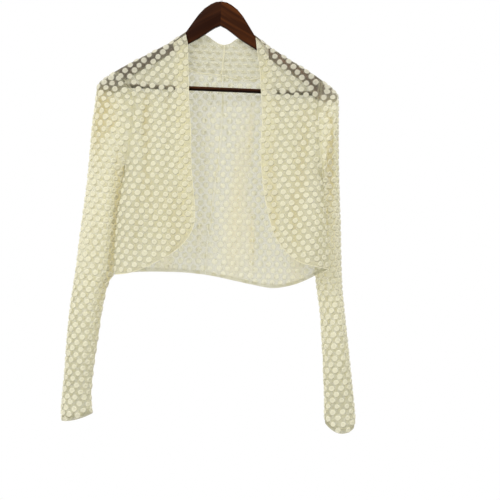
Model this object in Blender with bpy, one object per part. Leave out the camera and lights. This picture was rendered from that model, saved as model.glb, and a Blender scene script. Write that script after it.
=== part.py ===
"""A short open-front bolero of spotted net with long sleeves, hung on a wooden coat hanger.

The hanger is upright and symmetric about X = 0, with its face to -Y. The bolero hangs on it a little
to one side, so its left and right halves have tables of their own. "Left" is the side at -X.
The origin is where a rail touches the inside top of the hook. Tables are in millimetres.
"""

import math

import bmesh
import bpy
import numpy as np

MM = 0.001
SEAM_GAP = 0.3

# Cloth
WALL = 1.6
FACING_WALL = 1.2
CLOTH_LIFT = 2.6
SHOULDER_RADIUS = 9.6
BODY_GROWTH = 18.0
GROWTH_REACH = 220.0
SIDE_ROUND = 45.0
# How far each side seam swings forward of the sleeve beside it
SIDE_SWING = {"left": 9.0, "right": 24.0}
# That swing starts this far from the middle and above the underarm, and is full after these runs
SWING_FROM_X = 90.0
SWING_RUN_X = 90.0
SWING_ABOVE_UNDERARM = 30.0
SWING_RUN_Z = 130.0
# Folds start this far below the shoulder line and are full after this run
FOLDS_BELOW = 25.0
FOLDS_RUN = 60.0
FACING_COLUMNS = 4
FACING_START_ROW = 5
ARMHOLE_GAP = 0.4
CLOTH_CREASE_ANGLE = 50.0

# Hanger
WOOD_HALF_THICKNESS = 5.5
WOOD_EDGE_RADIUS = 4.5
WOOD_EDGE_SHARE = 0.9
WOOD_CREASE_ANGLE = 35.0
BAR_RADIUS = 4.0
BAR_Z = -237.2
BAR_HALF_LENGTH = 193.0
BAR_HOLE_FROM = 162.0
HOOK_WIRE_RADIUS = 1.9
HOOK_INNER_RADIUS = 21.0
HOOK_STEM_BOTTOM = -96.0
# The wire's way from the stem to the round part, as (x, z), and the degrees that part covers
HOOK_NECK = ((0.0, -80.0), (0.0, -64.0), (1.6, -56.0), (6.5, -47.5))
HOOK_ARC = (-55, 200)
HOOK_ARC_STEP = 15
HOLE_CLEARANCE = 0.3

# Columns: distance from the middle, upper edge, lower edge of the wood
HANGER_ARM = (
    (0.0, -77.5, -121.5),
    (10.0, -78.8, -126.0),
    (19.0, -83.2, -132.0),
    (30.0, -91.2, -140.0),
    (40.0, -102.4, -147.0),
    (48.0, -114.0, -151.5),
    (62.0, -135.5, -159.5),
    (75.0, -145.5, -167.5),
    (88.0, -155.5, -176.0),
    (115.0, -171.0, -193.0),
    (148.0, -189.8, -212.5),
    (168.0, -201.0, -226.0),
    (178.0, -206.7, -247.0),
    (190.0, -215.0, -252.0),
    (208.0, -228.5, -252.0),
    (214.0, -235.0, -251.0),
    (217.0, -241.0, -247.5),
)

# Columns: x, z. Front edges run from the shoulder down to the end of the cut-away curve.
FRONT_EDGE = {
    "left": (
        (-64.2, None), (-58.5, -157.0), (-56.4, -182.0), (-53.0, -233.0), (-49.5, -277.0),
        (-45.0, -315.0), (-43.0, -354.0), (-37.5, -413.0), (-31.5, -460.0), (-32.0, -484.0),
        (-40.0, -505.0), (-54.0, -524.0), (-73.0, -540.0), (-92.0, -552.0),
    ),
    "right": (
        (65.0, None), (68.5, -162.0), (73.7, -189.5), (78.5, -233.0), (82.0, -267.5),
        (83.5, -297.0), (82.5, -338.6), (86.0, -384.0), (93.0, -427.0), (102.0, -462.0),
        (111.5, -493.0), (127.0, -518.0), (146.0, -537.0),
    ),
}
FRONT_HEM = {
    "left": ((-92.0, -552.0), (-118.0, -566.0), (-143.0, -576.0), (-174.0, -581.0)),
    "right": ((146.0, -537.0), (165.0, -546.0), (188.0, -550.5), (215.6, -555.5)),
}
BACK_HEM = {
    "left": ((-9.5, -575.5), (-42.0, -573.3), (-102.0, -573.6), (-150.0, -577.0), (-174.0, -581.0)),
    "right": (
        (-9.5, -575.5), (15.0, -579.0), (46.0, -584.5), (76.5, -590.0), (116.0, -595.0),
        (146.0, -589.0), (175.0, -577.0), (195.0, -566.0), (215.6, -555.5),
    ),
}
CENTRE_BACK = (
    (6.0, -208.0), (9.5, -240.0), (8.5, -300.0), (6.5, -351.0), (1.7, -402.0),
    (-4.5, -476.0), (-9.0, -530.0), (-9.5, -575.5),
)
BACK_NECK = {
    "left": (
        (-88.0, None), (-84.0, -170.0), (-70.0, -191.0), (-49.0, -203.0), (-20.0, -207.0),
        (6.0, -208.0),
    ),
    "right": (
        (92.0, None), (90.0, -185.0), (82.0, -206.0), (66.0, -214.0), (36.0, -214.5), (6.0, -208.0),
    ),
}
BAND_TOP = {
    "left": (
        (-64.2, None), (-57.5, -134.4), (-44.0, -134.0), (-26.0, -138.0), (-10.0, -148.0),
        (0.0, -152.6), (8.0, -154.0),
    ),
    "right": (
        (65.0, None), (58.0, -138.0), (46.0, -138.8), (31.0, -142.5), (18.0, -151.4), (8.0, -154.0),
    ),
}
BAND_CENTRE = ((8.0, -154.0), (7.5, -180.0), (6.0, -208.0))

# Columns: z, x on the front, x on the back
ARMHOLE = {
    "left": (
        (-386.0, -163.0, -163.0), (-372.0, -159.0, -165.5), (-350.0, -154.0, -168.5),
        (-320.0, -151.0, -170.5), (-288.0, -150.5, -172.5), (-256.0, -153.5, -176.0),
        (-236.0, -165.0, -180.0), (-222.0, -179.0, -184.5), (-211.4, -188.0, -188.0),
    ),
    "right": (
        (-386.0, 196.5, 196.5), (-365.0, 193.5, 193.5), (-334.0, 189.0, 189.5),
        (-300.0, 186.0, 187.0), (-262.0, 183.5, 185.5), (-228.0, 185.0, 186.5),
        (-211.4, 188.0, 188.0),
    ),
}
# Columns: z, x
SIDE_SEAM = {
    "left": (
        (-386.0, -163.0), (-412.0, -166.5), (-448.0, -170.3), (-490.0, -173.6), (-537.0, -175.0),
        (-581.0, -174.0),
    ),
    "right": (
        (-386.0, 196.5), (-410.0, 199.5), (-443.0, 202.8), (-481.0, 208.0), (-521.0, 212.5),
        (-555.5, 215.6),
    ),
}
# Columns: outer x, outer z, inner x, inner z, half depth, y of the middle
SLEEVE_RINGS = {
    "left": (
        (-188.0, -211.4, -163.0, -386.0, 26.0, 0.0),
        (-203.0, -221.8, -164.8, -388.5, 25.5, 0.0),
        (-208.0, -225.3, -165.4, -390.0, 25.5, 0.0),
        (-213.0, -229.2, -166.0, -391.5, 25.5, 0.0),
        (-218.2, -235.2, -167.0, -394.0, 25.5, 0.0),
        (-220.8, -245.0, -167.6, -399.0, 25.5, 1.0),
        (-223.0, -272.0, -167.8, -408.0, 26.0, 3.0),
        (-227.0, -306.0, -168.2, -422.0, 26.5, 6.0),
        (-229.6, -350.0, -169.2, -442.0, 27.0, 9.0),
        (-232.0, -394.0, -171.0, -466.0, 27.0, 12.0),
        (-236.0, -443.0, -173.6, -496.0, 26.5, 13.5),
        (-241.0, -492.0, -176.6, -530.0, 25.5, 14.0),
        (-245.0, -542.0, -180.5, -564.0, 24.5, 13.0),
        (-249.0, -593.0, -187.0, -601.0, 23.5, 11.0),
        (-253.5, -640.0, -193.0, -642.0, 22.5, 8.5),
        (-256.5, -695.0, -198.0, -694.0, 21.5, 5.5),
        (-257.6, -748.0, -203.5, -745.0, 21.0, 2.0),
        (-259.7, -797.0, -206.3, -792.0, 20.5, 1.0),
        (-261.0, -832.0, -205.0, -822.0, 20.5, 0.0),
        (-259.0, -850.5, -201.8, -834.5, 21.0, 0.0),
    ),
    "right": (
        (188.0, -211.4, 196.5, -386.0, 26.0, 0.0),
        (203.0, -221.8, 198.6, -388.5, 25.5, 0.0),
        (208.0, -225.3, 199.3, -390.0, 25.5, 0.0),
        (213.0, -229.2, 200.0, -391.5, 25.5, 0.0),
        (218.2, -235.2, 201.0, -395.5, 25.5, 0.3),
        (220.8, -245.0, 201.4, -401.0, 25.5, 1.2),
        (222.0, -272.0, 201.2, -411.0, 26.0, 4.5),
        (223.6, -304.0, 200.0, -424.0, 26.0, 10.0),
        (225.6, -342.0, 198.4, -440.0, 26.0, 15.0),
        (228.4, -384.0, 196.4, -460.0, 26.0, 20.0),
        (232.0, -428.0, 194.0, -486.0, 26.0, 25.0),
        (235.8, -474.0, 191.8, -516.0, 25.5, 29.0),
        (239.2, -528.0, 190.8, -550.0, 25.0, 31.0),
        (243.4, -583.0, 195.5, -588.0, 25.0, 31.0),
        (250.0, -634.0, 203.5, -634.0, 24.5, 28.0),
        (257.6, -684.0, 208.5, -682.0, 23.5, 25.0),
        (263.0, -724.0, 211.8, -721.0, 22.5, 22.0),
        (268.4, -763.0, 215.0, -760.0, 21.5, 19.0),
        (273.6, -801.0, 217.8, -797.0, 21.0, 16.0),
        (276.8, -830.0, 218.4, -822.0, 20.5, 14.0),
        (275.4, -843.5, 220.5, -838.0, 20.5, 13.0),
    ),
}
CUFF_DIP = {"left": 3.0, "right": 12.0}
# Degrees round a sleeve from its top down to its underarm, close together over the hanger's edge
RING_ANGLES = (0, 4, 9, 16, 26, 39, 52, 65, 78, 91, 104, 117, 130, 145, 162, 180)
ARMHOLE_ROWS = len(RING_ANGLES) - 1
RING_STEPS = 2 * ARMHOLE_ROWS
STEEPEST_SHOULDER = 0.75
# Powers that crowd a body piece's columns towards its turned edge, softly and hard
CROWDING = 0.9
HARD_CROWDING = 2.2
SIDE_ROWS = 10
BODY_COLUMNS = 11
NECK_COLUMNS = 9
SHOULDER_COLUMNS = 7
NECK_SHARE = 0.42
BAND_ROWS = 6
ARMHOLE_BLEND_RINGS = 5
CUFF_RINGS = 3

# Columns: x at the top, z at the top, x at the foot, z at the foot, width, rise
FRONT_FOLDS = {
    "left": (
        (-140.0, -225.0, -137.0, -420.0, 11.0, 4.0),
        (-122.0, -235.0, -124.0, -470.0, 10.0, -4.0),
        (-104.0, -250.0, -100.0, -520.0, 14.0, 2.5),
        (-150.0, -400.0, -152.0, -650.0, 14.0, 3.0),
        (-68.0, -400.0, -60.0, -620.0, 16.0, -3.0),
    ),
    "right": (
        (172.0, -225.0, 178.0, -430.0, 11.0, 3.5),
        (152.0, -240.0, 160.0, -480.0, 12.0, -3.0),
        (122.0, -260.0, 128.0, -500.0, 16.0, 2.5),
        (186.0, -420.0, 192.0, -650.0, 13.0, 3.0),
        (105.0, -300.0, 118.0, -560.0, 12.0, -3.0),
    ),
}
BACK_FOLDS = (
    (-120.0, -240.0, -128.0, -680.0, 18.0, 3.5),
    (-85.0, -300.0, -80.0, -680.0, 18.0, -3.5),
    (-44.0, -260.0, -46.0, -680.0, 20.0, 3.0),
    (45.0, -260.0, 40.0, -680.0, 20.0, -3.5),
    (90.0, -240.0, 116.0, -700.0, 22.0, 7.0),
    (140.0, -260.0, 160.0, -680.0, 18.0, -4.0),
)
# Columns: fraction along the sleeve at the top and the foot, angle there in degrees, width, rise
SLEEVE_FOLDS = {
    "left": (
        (0.20, 0.98, 104.0, 112.0, 22.0, 3.2),
        (0.20, 0.90, 142.0, 150.0, 20.0, -3.0),
        (0.05, 0.45, 60.0, 50.0, 26.0, -2.4),
        (0.20, 0.95, 250.0, 240.0, 24.0, 3.0),
        (0.25, 0.85, 205.0, 212.0, 22.0, -2.6),
    ),
    "right": (
        (0.08, 0.55, 50.0, 38.0, 22.0, 2.8),
        (0.05, 0.60, 88.0, 78.0, 22.0, -2.6),
        (0.45, 1.02, 60.0, 85.0, 24.0, 2.6),
        (0.25, 0.90, 255.0, 262.0, 24.0, 3.0),
        (0.30, 0.95, 300.0, 292.0, 24.0, -2.4),
    ),
}

SIDES = {"left": -1.0, "right": 1.0}


def smooth(knots, values, at):
    """Curve through the rows of a table, each slope taken from the rows beside it."""
    knots = np.asarray(knots, float)
    values = np.asarray(values, float)
    slopes = np.gradient(values, knots)
    at = np.clip(at, knots[0], knots[-1])
    i = np.clip(np.searchsorted(knots, at) - 1, 0, len(knots) - 2)
    gap = knots[i + 1] - knots[i]
    t = (at - knots[i]) / gap
    start = (2 * t**3 - 3 * t**2 + 1) * values[i] + (t**3 - 2 * t**2 + t) * gap * slopes[i]
    end = (3 * t**2 - 2 * t**3) * values[i + 1] + (t**3 - t**2) * gap * slopes[i + 1]
    return start + end


def ease(t):
    t = np.clip(t, 0.0, 1.0)
    return t * t * (3 - 2 * t)


def arm_top(x):
    """Upper edge of the wood above this x."""
    table = np.array(HANGER_ARM)
    return np.interp(np.abs(x), table[:, 0], table[:, 1])


def shoulder_z(x):
    """The line where front and back meet over the hanger."""
    return arm_top(x) + CLOTH_LIFT


def with_shoulder(points):
    """A table of (x, z) whose missing heights are on the shoulder line."""
    return np.array([(x, shoulder_z(x) if z is None else z) for x, z in points])


def curve_through(points, steps=60):
    """Fine smooth line through a few (x, z) points."""
    points = np.asarray(points, float)
    lengths = np.concatenate([[0], np.cumsum(np.hypot(*np.diff(points, axis=0).T))])
    at = np.linspace(0, lengths[-1], steps)
    return np.column_stack([smooth(lengths, points[:, 0], at), smooth(lengths, points[:, 1], at)])


def spread(line, fractions):
    """Points on a fine line at these fractions of its length."""
    lengths = np.concatenate([[0], np.cumsum(np.hypot(*np.diff(line, axis=0).T))])
    at = np.asarray(fractions) * lengths[-1]
    return np.column_stack([np.interp(at, lengths, line[:, 0]), np.interp(at, lengths, line[:, 1])])


def side_x(side, z):
    table = np.array(SIDE_SEAM[side])[::-1]
    return smooth(table[:, 0], table[:, 1], z)


def armhole_x(side, face, z):
    table = np.array(ARMHOLE[side])
    return smooth(table[:, 0], table[:, 1 if face == "front" else 2], z)


def fold_heights(rows, x, z):
    """Soft ridges and troughs, each along a line that fades at its ends."""
    total = np.zeros_like(x)
    for x_top, z_top, x_foot, z_foot, width, rise in rows:
        t = np.clip((z_top - z) / (z_top - z_foot), 0, 1)
        centre = x_top + (x_foot - x_top) * t
        total += rise * np.exp(-(((x - centre) / width) ** 2)) * np.sin(math.pi * t)
    return total


def body_y(face, x, z):
    """Depth of the cloth's outer surface, a cushion shape closed at the shoulders and side seams."""
    side = np.where(x < 0, -1.0, 1.0)
    slope = np.minimum(np.abs(arm_top(x + 1) - arm_top(x - 1)) / 2, STEEPEST_SHOULDER)
    below = np.maximum(shoulder_z(x) - z, 0) / np.sqrt(1 + slope**2)
    near = np.minimum(below, SHOULDER_RADIUS)
    depth = np.sqrt(SHOULDER_RADIUS**2 - (SHOULDER_RADIUS - near) ** 2)
    depth = depth + BODY_GROWTH * ease(below / GROWTH_REACH)
    underarm = SIDE_SEAM["left"][0][0]
    seam = np.where(side < 0, side_x("left", z), side_x("right", z))
    inside = np.maximum((seam - x) * side, 0)
    above = np.maximum(z - underarm, 0)
    edge = np.minimum(np.hypot(inside, above) / SIDE_ROUND, 1)
    depth = depth * np.sqrt(1 - (1 - edge) ** 2)
    soft = ease((below - FOLDS_BELOW) / FOLDS_RUN) * edge
    if face == "front":
        rows = FRONT_FOLDS["left"] + FRONT_FOLDS["right"]
    else:
        rows = BACK_FOLDS
    depth = depth + soft * fold_heights(rows, x, z)
    swing = np.where(side < 0, *(SIDE_SWING[name] for name in SIDE_SWING))
    swing = swing * ease((np.abs(x) - SWING_FROM_X) / SWING_RUN_X)
    middle = -swing * ease((underarm + SWING_ABOVE_UNDERARM - z) / SWING_RUN_Z)
    gap = SEAM_GAP / 2
    return middle - np.maximum(depth, gap) if face == "front" else middle + np.maximum(depth, gap)


def ring_angles():
    half = np.radians(RING_ANGLES)
    return np.concatenate([half, 2 * math.pi - half[-2:0:-1]])


def armhole_points(side, face):
    """The seam line from the shoulder to the underarm, as (x, z), at the sleeve's ring angles."""
    top, foot = ARMHOLE[side][-1][0], ARMHOLE[side][0][0]
    z = (top + foot) / 2 + (top - foot) / 2 * np.cos(ring_angles()[: ARMHOLE_ROWS + 1])
    return np.column_stack([armhole_x(side, face, z), z])


def outer_edge(side, face):
    """Armhole, then side seam."""
    table = SIDE_SEAM[side]
    z = np.linspace(table[0][0], table[-1][0], SIDE_ROWS + 1)[1:]
    return np.vstack([armhole_points(side, face), np.column_stack([side_x(side, z), z])])


def armhole_outward(side, points):
    """Direction away from the middle of the armhole, which both pieces at that seam share."""
    top, foot = ARMHOLE[side][-1][0], ARMHOLE[side][0][0]
    tall = (top - foot) / 2
    deep = SHOULDER_RADIUS + BODY_GROWTH
    away = np.zeros_like(points)
    away[:, 1] = points[:, 1] / deep
    away[:, 2] = (points[:, 2] - (top + foot) / 2) / tall
    return away / np.linalg.norm(away, axis=1, keepdims=True)


def shoulder_outward(x):
    slope = (arm_top(x + 1) - arm_top(x - 1)) / 2
    out = np.column_stack([-slope, np.zeros(len(x)), np.ones(len(x))])
    return out / np.linalg.norm(out, axis=1, keepdims=True)


def lift(face, flat):
    """Points and outward normals of the body's surface at a grid of (x, z)."""
    x, z = flat[..., 0], flat[..., 1]
    step = 0.2
    points = np.stack([x, body_y(face, x, z), z], axis=-1)
    slope_x = (body_y(face, x + step, z) - body_y(face, x - step, z)) / (2 * step)
    slope_z = (body_y(face, x, z + step) - body_y(face, x, z - step)) / (2 * step)
    out = np.stack([-slope_x, np.ones_like(x), -slope_z], axis=-1)
    out /= np.linalg.norm(out, axis=-1, keepdims=True)
    return points, -out if face == "front" else out


def fill(top, foot, inner, outer, across, down):
    """Grid between four edges, whose rows run from top to foot and columns from inner to outer."""
    u = np.asarray(across)[None, :, None]
    v = np.asarray(down)[:, None, None]
    between = (1 - v) * top[None] + v * foot[None] + (1 - u) * inner[:, None] + u * outer[:, None]
    upper = (1 - u) * top[0] + u * top[-1]
    lower = (1 - u) * foot[0] + u * foot[-1]
    return between - (1 - v) * upper - v * lower


def crowded(count):
    """Fractions from 0 to 1 that crowd towards 1, where the cloth turns."""
    return np.sin(np.linspace(0, math.pi / 2, count)) ** CROWDING


def crowded_hard(count):
    """Fractions from 0 to 1 whose last steps are small enough for the turn over the hanger's edge."""
    return 1 - (1 - np.linspace(0, 1, count)) ** HARD_CROWDING


def fractions_along(line):
    lengths = np.concatenate([[0], np.cumsum(np.hypot(*np.diff(line, axis=0).T))])
    return lengths / lengths[-1]


def seamed(side, normals, shoulder_columns, points):
    """Gives a body piece's seam edges the normals of the piece across the seam."""
    normals[0, shoulder_columns] = shoulder_outward(points[0, shoulder_columns, 0])
    normals[: ARMHOLE_ROWS + 1, -1] = armhole_outward(side, points[: ARMHOLE_ROWS + 1, -1])
    normals[ARMHOLE_ROWS + 1 :, -1] = (SIDES[side], 0.0, 0.0)
    return normals


def front_surface(side):
    outer = outer_edge(side, "front")
    down = fractions_along(outer)
    across = crowded(BODY_COLUMNS)
    inner = spread(curve_through(with_shoulder(FRONT_EDGE[side])), down)
    x = inner[0, 0] + (outer[0, 0] - inner[0, 0]) * across
    top = np.column_stack([x, shoulder_z(x)])
    foot = spread(curve_through(FRONT_HEM[side]), across)
    points, normals = lift("front", fill(top, foot, inner, outer, across, down))
    return points, seamed(side, normals, slice(None), points)


def neckline(side, aside):
    """The seam between back and neck band, from the centre back to the shoulder."""
    line = curve_through(with_shoulder(BACK_NECK[side]))[::-1]
    points = spread(line, crowded_hard(NECK_COLUMNS))
    along = np.gradient(points, axis=0)
    along /= np.linalg.norm(along, axis=1, keepdims=True)
    upward = np.column_stack([-along[:, 1], along[:, 0]]) * SIDES[side]
    return points + upward * aside


def back_surface(side):
    outer = outer_edge(side, "back")
    down = fractions_along(outer)
    neck = neckline(side, -SEAM_GAP / 2)
    shoulder_steps = crowded(SHOULDER_COLUMNS)[1:]
    across = np.concatenate(
        [NECK_SHARE * crowded_hard(NECK_COLUMNS), NECK_SHARE + (1 - NECK_SHARE) * shoulder_steps]
    )
    x = neck[-1, 0] + (outer[0, 0] - neck[-1, 0]) * shoulder_steps
    top = np.vstack([neck, np.column_stack([x, shoulder_z(x)])])
    inner = spread(curve_through(CENTRE_BACK), down)
    inner[:, 0] += SIDES[side] * SEAM_GAP / 2
    top[0], inner[0] = (inner[0, 0], top[0, 1]), (inner[0, 0], top[0, 1])
    foot = spread(curve_through(BACK_HEM[side]), across)
    foot[0] = inner[-1]
    points, normals = lift("back", fill(top, foot, inner, outer, across, down))
    return points, seamed(side, normals, slice(NECK_COLUMNS - 1, None), points)


def band_surface(side):
    """Neck band, from its free edge down to the neckline seam and out to the shoulder seam."""
    across = crowded_hard(NECK_COLUMNS)
    down = np.linspace(0, 1, BAND_ROWS)
    foot = neckline(side, SEAM_GAP / 2)
    top = spread(curve_through(with_shoulder(BAND_TOP[side]))[::-1], across)
    inner = spread(curve_through(BAND_CENTRE), down)
    inner[:, 0] += SIDES[side] * SEAM_GAP / 2
    top[0] = inner[0]
    foot[0, 0] = inner[-1, 0]
    inner[-1] = foot[0]
    x = top[-1, 0] + (foot[-1, 0] - top[-1, 0]) * down
    outer = np.column_stack([x, shoulder_z(x)])
    foot[-1] = outer[-1]
    points, normals = lift("back", fill(top, foot, inner, outer, across, down))
    normals[:, -1] = shoulder_outward(points[:, -1, 0])
    return points, normals


def armhole_loop(side):
    """The armhole seam as one ring, down the front and up the back."""
    rings = []
    for face in ("front", "back"):
        flat = armhole_points(side, face)
        rings.append(lift(face, flat[None])[0][0])
    front, back = rings
    front[0, 1] = 0.0
    front[-1, 1] = (front[-1, 1] + back[-1, 1]) / 2
    return np.vstack([front, back[-2:0:-1]])


def sleeve_surface(side):
    table = np.array(SLEEVE_RINGS[side])
    angles = ring_angles()
    loop = armhole_loop(side)
    points = np.zeros((len(table), RING_STEPS, 3))
    for k, (out_x, out_z, in_x, in_z, deep, middle_y) in enumerate(table):
        reach = np.array([out_x - in_x, 0.0, out_z - in_z]) / 2
        middle = np.array([(out_x + in_x) / 2, middle_y, (out_z + in_z) / 2])
        long = np.linalg.norm(reach)
        cos, sin = np.cos(angles)[:, None], np.sin(angles)[:, None]
        outward = cos * reach / long**2 + sin * np.array([0.0, -1.0, 0.0]) / deep
        outward /= np.linalg.norm(outward, axis=1, keepdims=True)
        ring = middle + cos * reach + sin * np.array([0.0, -deep, 0.0])
        if k == 0:
            from_ellipse = loop - ring
        ring = ring + from_ellipse * max(0.0, 1 - k / ARMHOLE_BLEND_RINGS) ** 2
        ring = ring + outward * sleeve_folds(side, k / (len(table) - 1), angles)[:, None]
        near_cuff = max(0.0, 1 - (len(table) - 1 - k) / CUFF_RINGS)
        ring[:, 2] -= CUFF_DIP[side] * near_cuff * np.sin(angles) ** 2
        points[k] = ring
    across = np.roll(points, -1, axis=1) - np.roll(points, 1, axis=1)
    normals = np.cross(np.gradient(points, axis=0), across)
    normals /= np.linalg.norm(normals, axis=2, keepdims=True)
    if (normals[-1] * (points[-1] - points[-1].mean(axis=0))).sum() < 0:
        normals = -normals
    normals[0] = armhole_outward(side, loop)
    points[0, :, 0] += SIDES[side] * ARMHOLE_GAP
    return points, normals


def sleeve_folds(side, fraction, angles):
    total = np.zeros(len(angles))
    for start, end, angle_top, angle_foot, width, rise in SLEEVE_FOLDS[side]:
        t = min(max((fraction - start) / (end - start), 0.0), 1.0)
        turn = np.degrees(angles) - (angle_top + (angle_foot - angle_top) * t)
        total += rise * math.sin(math.pi * t) * np.exp(-((turn / width) ** 2))
    return total


def material(name, colour, roughness, metallic=0.0):
    made = bpy.data.materials.new(name)
    made.use_nodes = True
    shader = made.node_tree.nodes["Principled BSDF"]
    shader.inputs["Base Color"].default_value = (*colour, 1.0)
    shader.inputs["Roughness"].default_value = roughness
    shader.inputs["Metallic"].default_value = metallic
    made.diffuse_color = (*colour, 1.0)
    return made


def add_mesh(name, vertices, faces, collection, look=None):
    """A new object from vertices in millimetres, with its faces turned outwards."""
    mesh = bpy.data.meshes.new(name)
    shape = bmesh.new()
    made = [shape.verts.new([float(value) * MM for value in vertex]) for vertex in vertices]
    for face in faces:
        shape.faces.new([made[index] for index in face])
    bmesh.ops.recalc_face_normals(shape, faces=shape.faces)
    shape.to_mesh(mesh)
    shape.free()
    if look:
        mesh.materials.append(look)
    thing = bpy.data.objects.new(name, mesh)
    collection.objects.link(thing)
    return thing


def add_wall(name, points, normals, thickness, collection, look, closed=False, outside=0.0):
    """A cloth piece: its outer points, inner points one thickness behind, and a rim round its edges."""
    rows, columns = points.shape[:2]
    outer = (points - normals * outside).reshape(-1, 3)
    inner = (points - normals * (outside + thickness)).reshape(-1, 3)
    behind = rows * columns

    def at(row, column):
        return row * columns + column % columns

    faces = []
    last_column = columns if closed else columns - 1
    for row in range(rows - 1):
        for column in range(last_column):
            corners = [at(row, column), at(row, column + 1), at(row + 1, column + 1), at(row + 1, column)]
            for half in (corners[:3], [corners[0], *corners[2:]]):
                faces.append(half)
                faces.append([behind + index for index in reversed(half)])
    edges = []
    for column in range(last_column):
        edges.append((at(0, column + 1), at(0, column)))
        edges.append((at(rows - 1, column), at(rows - 1, column + 1)))
    if not closed:
        for row in range(rows - 1):
            edges.append((at(row, 0), at(row + 1, 0)))
            edges.append((at(row + 1, columns - 1), at(row, columns - 1)))
    for first, second in edges:
        faces.append([first, second, behind + second, behind + first])
    thing = add_mesh(name, np.vstack([outer, inner]), faces, collection, look)
    thing.data.shade_smooth()
    thing.data.set_sharp_from_angle(angle=math.radians(CLOTH_CREASE_ANGLE))
    return thing


def wood_section(x, top, foot):
    """Rounded upright section of the hanger's wood at one x."""
    middle = (top + foot) / 2
    tall = (top - foot) / 2
    round_edge = min(WOOD_EDGE_RADIUS, WOOD_EDGE_SHARE * tall)
    ring = []
    for side_y, side_z, start in ((1, 1, 0), (-1, 1, 90), (-1, -1, 180), (1, -1, 270)):
        for step in range(4):
            angle = math.radians(start + 30 * step)
            ring.append((
                x,
                side_y * (WOOD_HALF_THICKNESS - round_edge) + round_edge * math.cos(angle),
                middle + side_z * (tall - round_edge) + round_edge * math.sin(angle),
            ))
    return ring


def add_cylinder(name, radius, start, end, collection, look=None, sides=16):
    """A round bar between two points, in millimetres."""
    start, end = np.array(start), np.array(end)
    shape = bmesh.new()
    bmesh.ops.create_cone(
        shape, cap_ends=True, segments=sides, radius1=radius * MM, radius2=radius * MM,
        depth=float(np.linalg.norm(end - start)) * MM,
    )
    mesh = bpy.data.meshes.new(name)
    shape.to_mesh(mesh)
    shape.free()
    if look:
        mesh.materials.append(look)
    thing = bpy.data.objects.new(name, mesh)
    thing.location = (start + end) / 2 * MM
    if abs(end[0] - start[0]) > abs(end[2] - start[2]):
        thing.rotation_euler = (0.0, math.pi / 2, 0.0)
    collection.objects.link(thing)
    return thing


def cut(thing, cutter):
    cutter.hide_render = True
    cutter.display_type = "WIRE"
    modifier = thing.modifiers.new("Hole", "BOOLEAN")
    modifier.operation = "DIFFERENCE"
    modifier.object = cutter


def add_hanger(collection, cutters, wood, steel):
    stations = [(-x, top, foot) for x, top, foot in reversed(HANGER_ARM[1:])] + list(HANGER_ARM)
    rings = [wood_section(*station) for station in stations]
    around = len(rings[0])
    faces = [list(range(around)), list(range((len(rings) - 1) * around, len(rings) * around))]
    for k in range(len(rings) - 1):
        for j in range(around):
            a, b = k * around + j, k * around + (j + 1) % around
            faces.append([a, b, b + around, a + around])
    vertices = [vertex for ring in rings for vertex in ring]
    frame = add_mesh("hanger_frame", vertices, faces, collection, wood)
    frame.data.shade_smooth()
    frame.data.set_sharp_from_angle(angle=math.radians(WOOD_CREASE_ANGLE))

    hole = BAR_RADIUS + HOLE_CLEARANCE
    hole_end = BAR_HALF_LENGTH + HOLE_CLEARANCE
    for side, sign in SIDES.items():
        start, end = (sign * BAR_HOLE_FROM, 0, BAR_Z), (sign * hole_end, 0, BAR_Z)
        cut(frame, add_cylinder("cut_bar_" + side, hole, start, end, cutters))
    stem = HOOK_WIRE_RADIUS + HOLE_CLEARANCE
    stem_foot = HOOK_STEM_BOTTOM - HOLE_CLEARANCE
    above_wood = HANGER_ARM[0][1] + WOOD_EDGE_RADIUS
    cut(frame, add_cylinder("cut_stem", stem, (0, 0, stem_foot), (0, 0, above_wood), cutters))

    ends = ((-BAR_HALF_LENGTH, 0, BAR_Z), (BAR_HALF_LENGTH, 0, BAR_Z))
    bar = add_cylinder("hanger_crossbar", BAR_RADIUS, *ends, collection, wood)
    bar.data.shade_smooth()
    bar.data.set_sharp_from_angle(angle=math.radians(WOOD_CREASE_ANGLE))
    add_hook(collection, steel)


def add_hook(collection, steel):
    """Round wire: a stem in the wood, a short bend to one side and an open hook round the origin."""
    radius = HOOK_INNER_RADIUS + HOOK_WIRE_RADIUS
    route = [(0.0, HOOK_STEM_BOTTOM), *HOOK_NECK]
    for degrees in range(HOOK_ARC[0], HOOK_ARC[1] + 1, HOOK_ARC_STEP):
        angle = math.radians(degrees)
        route.append((radius * math.cos(angle), -HOOK_INNER_RADIUS + radius * math.sin(angle)))
    curve = bpy.data.curves.new("hanger_hook", "CURVE")
    curve.dimensions = "3D"
    curve.bevel_depth = HOOK_WIRE_RADIUS * MM
    curve.bevel_resolution = 2
    curve.use_fill_caps = True
    spline = curve.splines.new("POLY")
    spline.points.add(len(route) - 1)
    for point, (x, z) in zip(spline.points, route):
        point.co = (x * MM, 0.0, z * MM, 1.0)
    curve.materials.append(steel)
    hook = bpy.data.objects.new("hanger_hook", curve)
    collection.objects.link(hook)


def add_bolero(collection, net):
    for side in SIDES:
        points, normals = front_surface(side)
        add_wall("front_" + side, points, normals, WALL, collection, net)
        strip = (slice(FACING_START_ROW, None), slice(0, FACING_COLUMNS))
        add_wall(
            "front_facing_" + side, points[strip], normals[strip], FACING_WALL, collection, net,
            outside=WALL + SEAM_GAP,
        )
        add_wall("back_" + side, *back_surface(side), WALL, collection, net)
        add_wall("neck_band_" + side, *band_surface(side), WALL, collection, net)
        add_wall("sleeve_" + side, *sleeve_surface(side), WALL, collection, net, closed=True)


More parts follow.
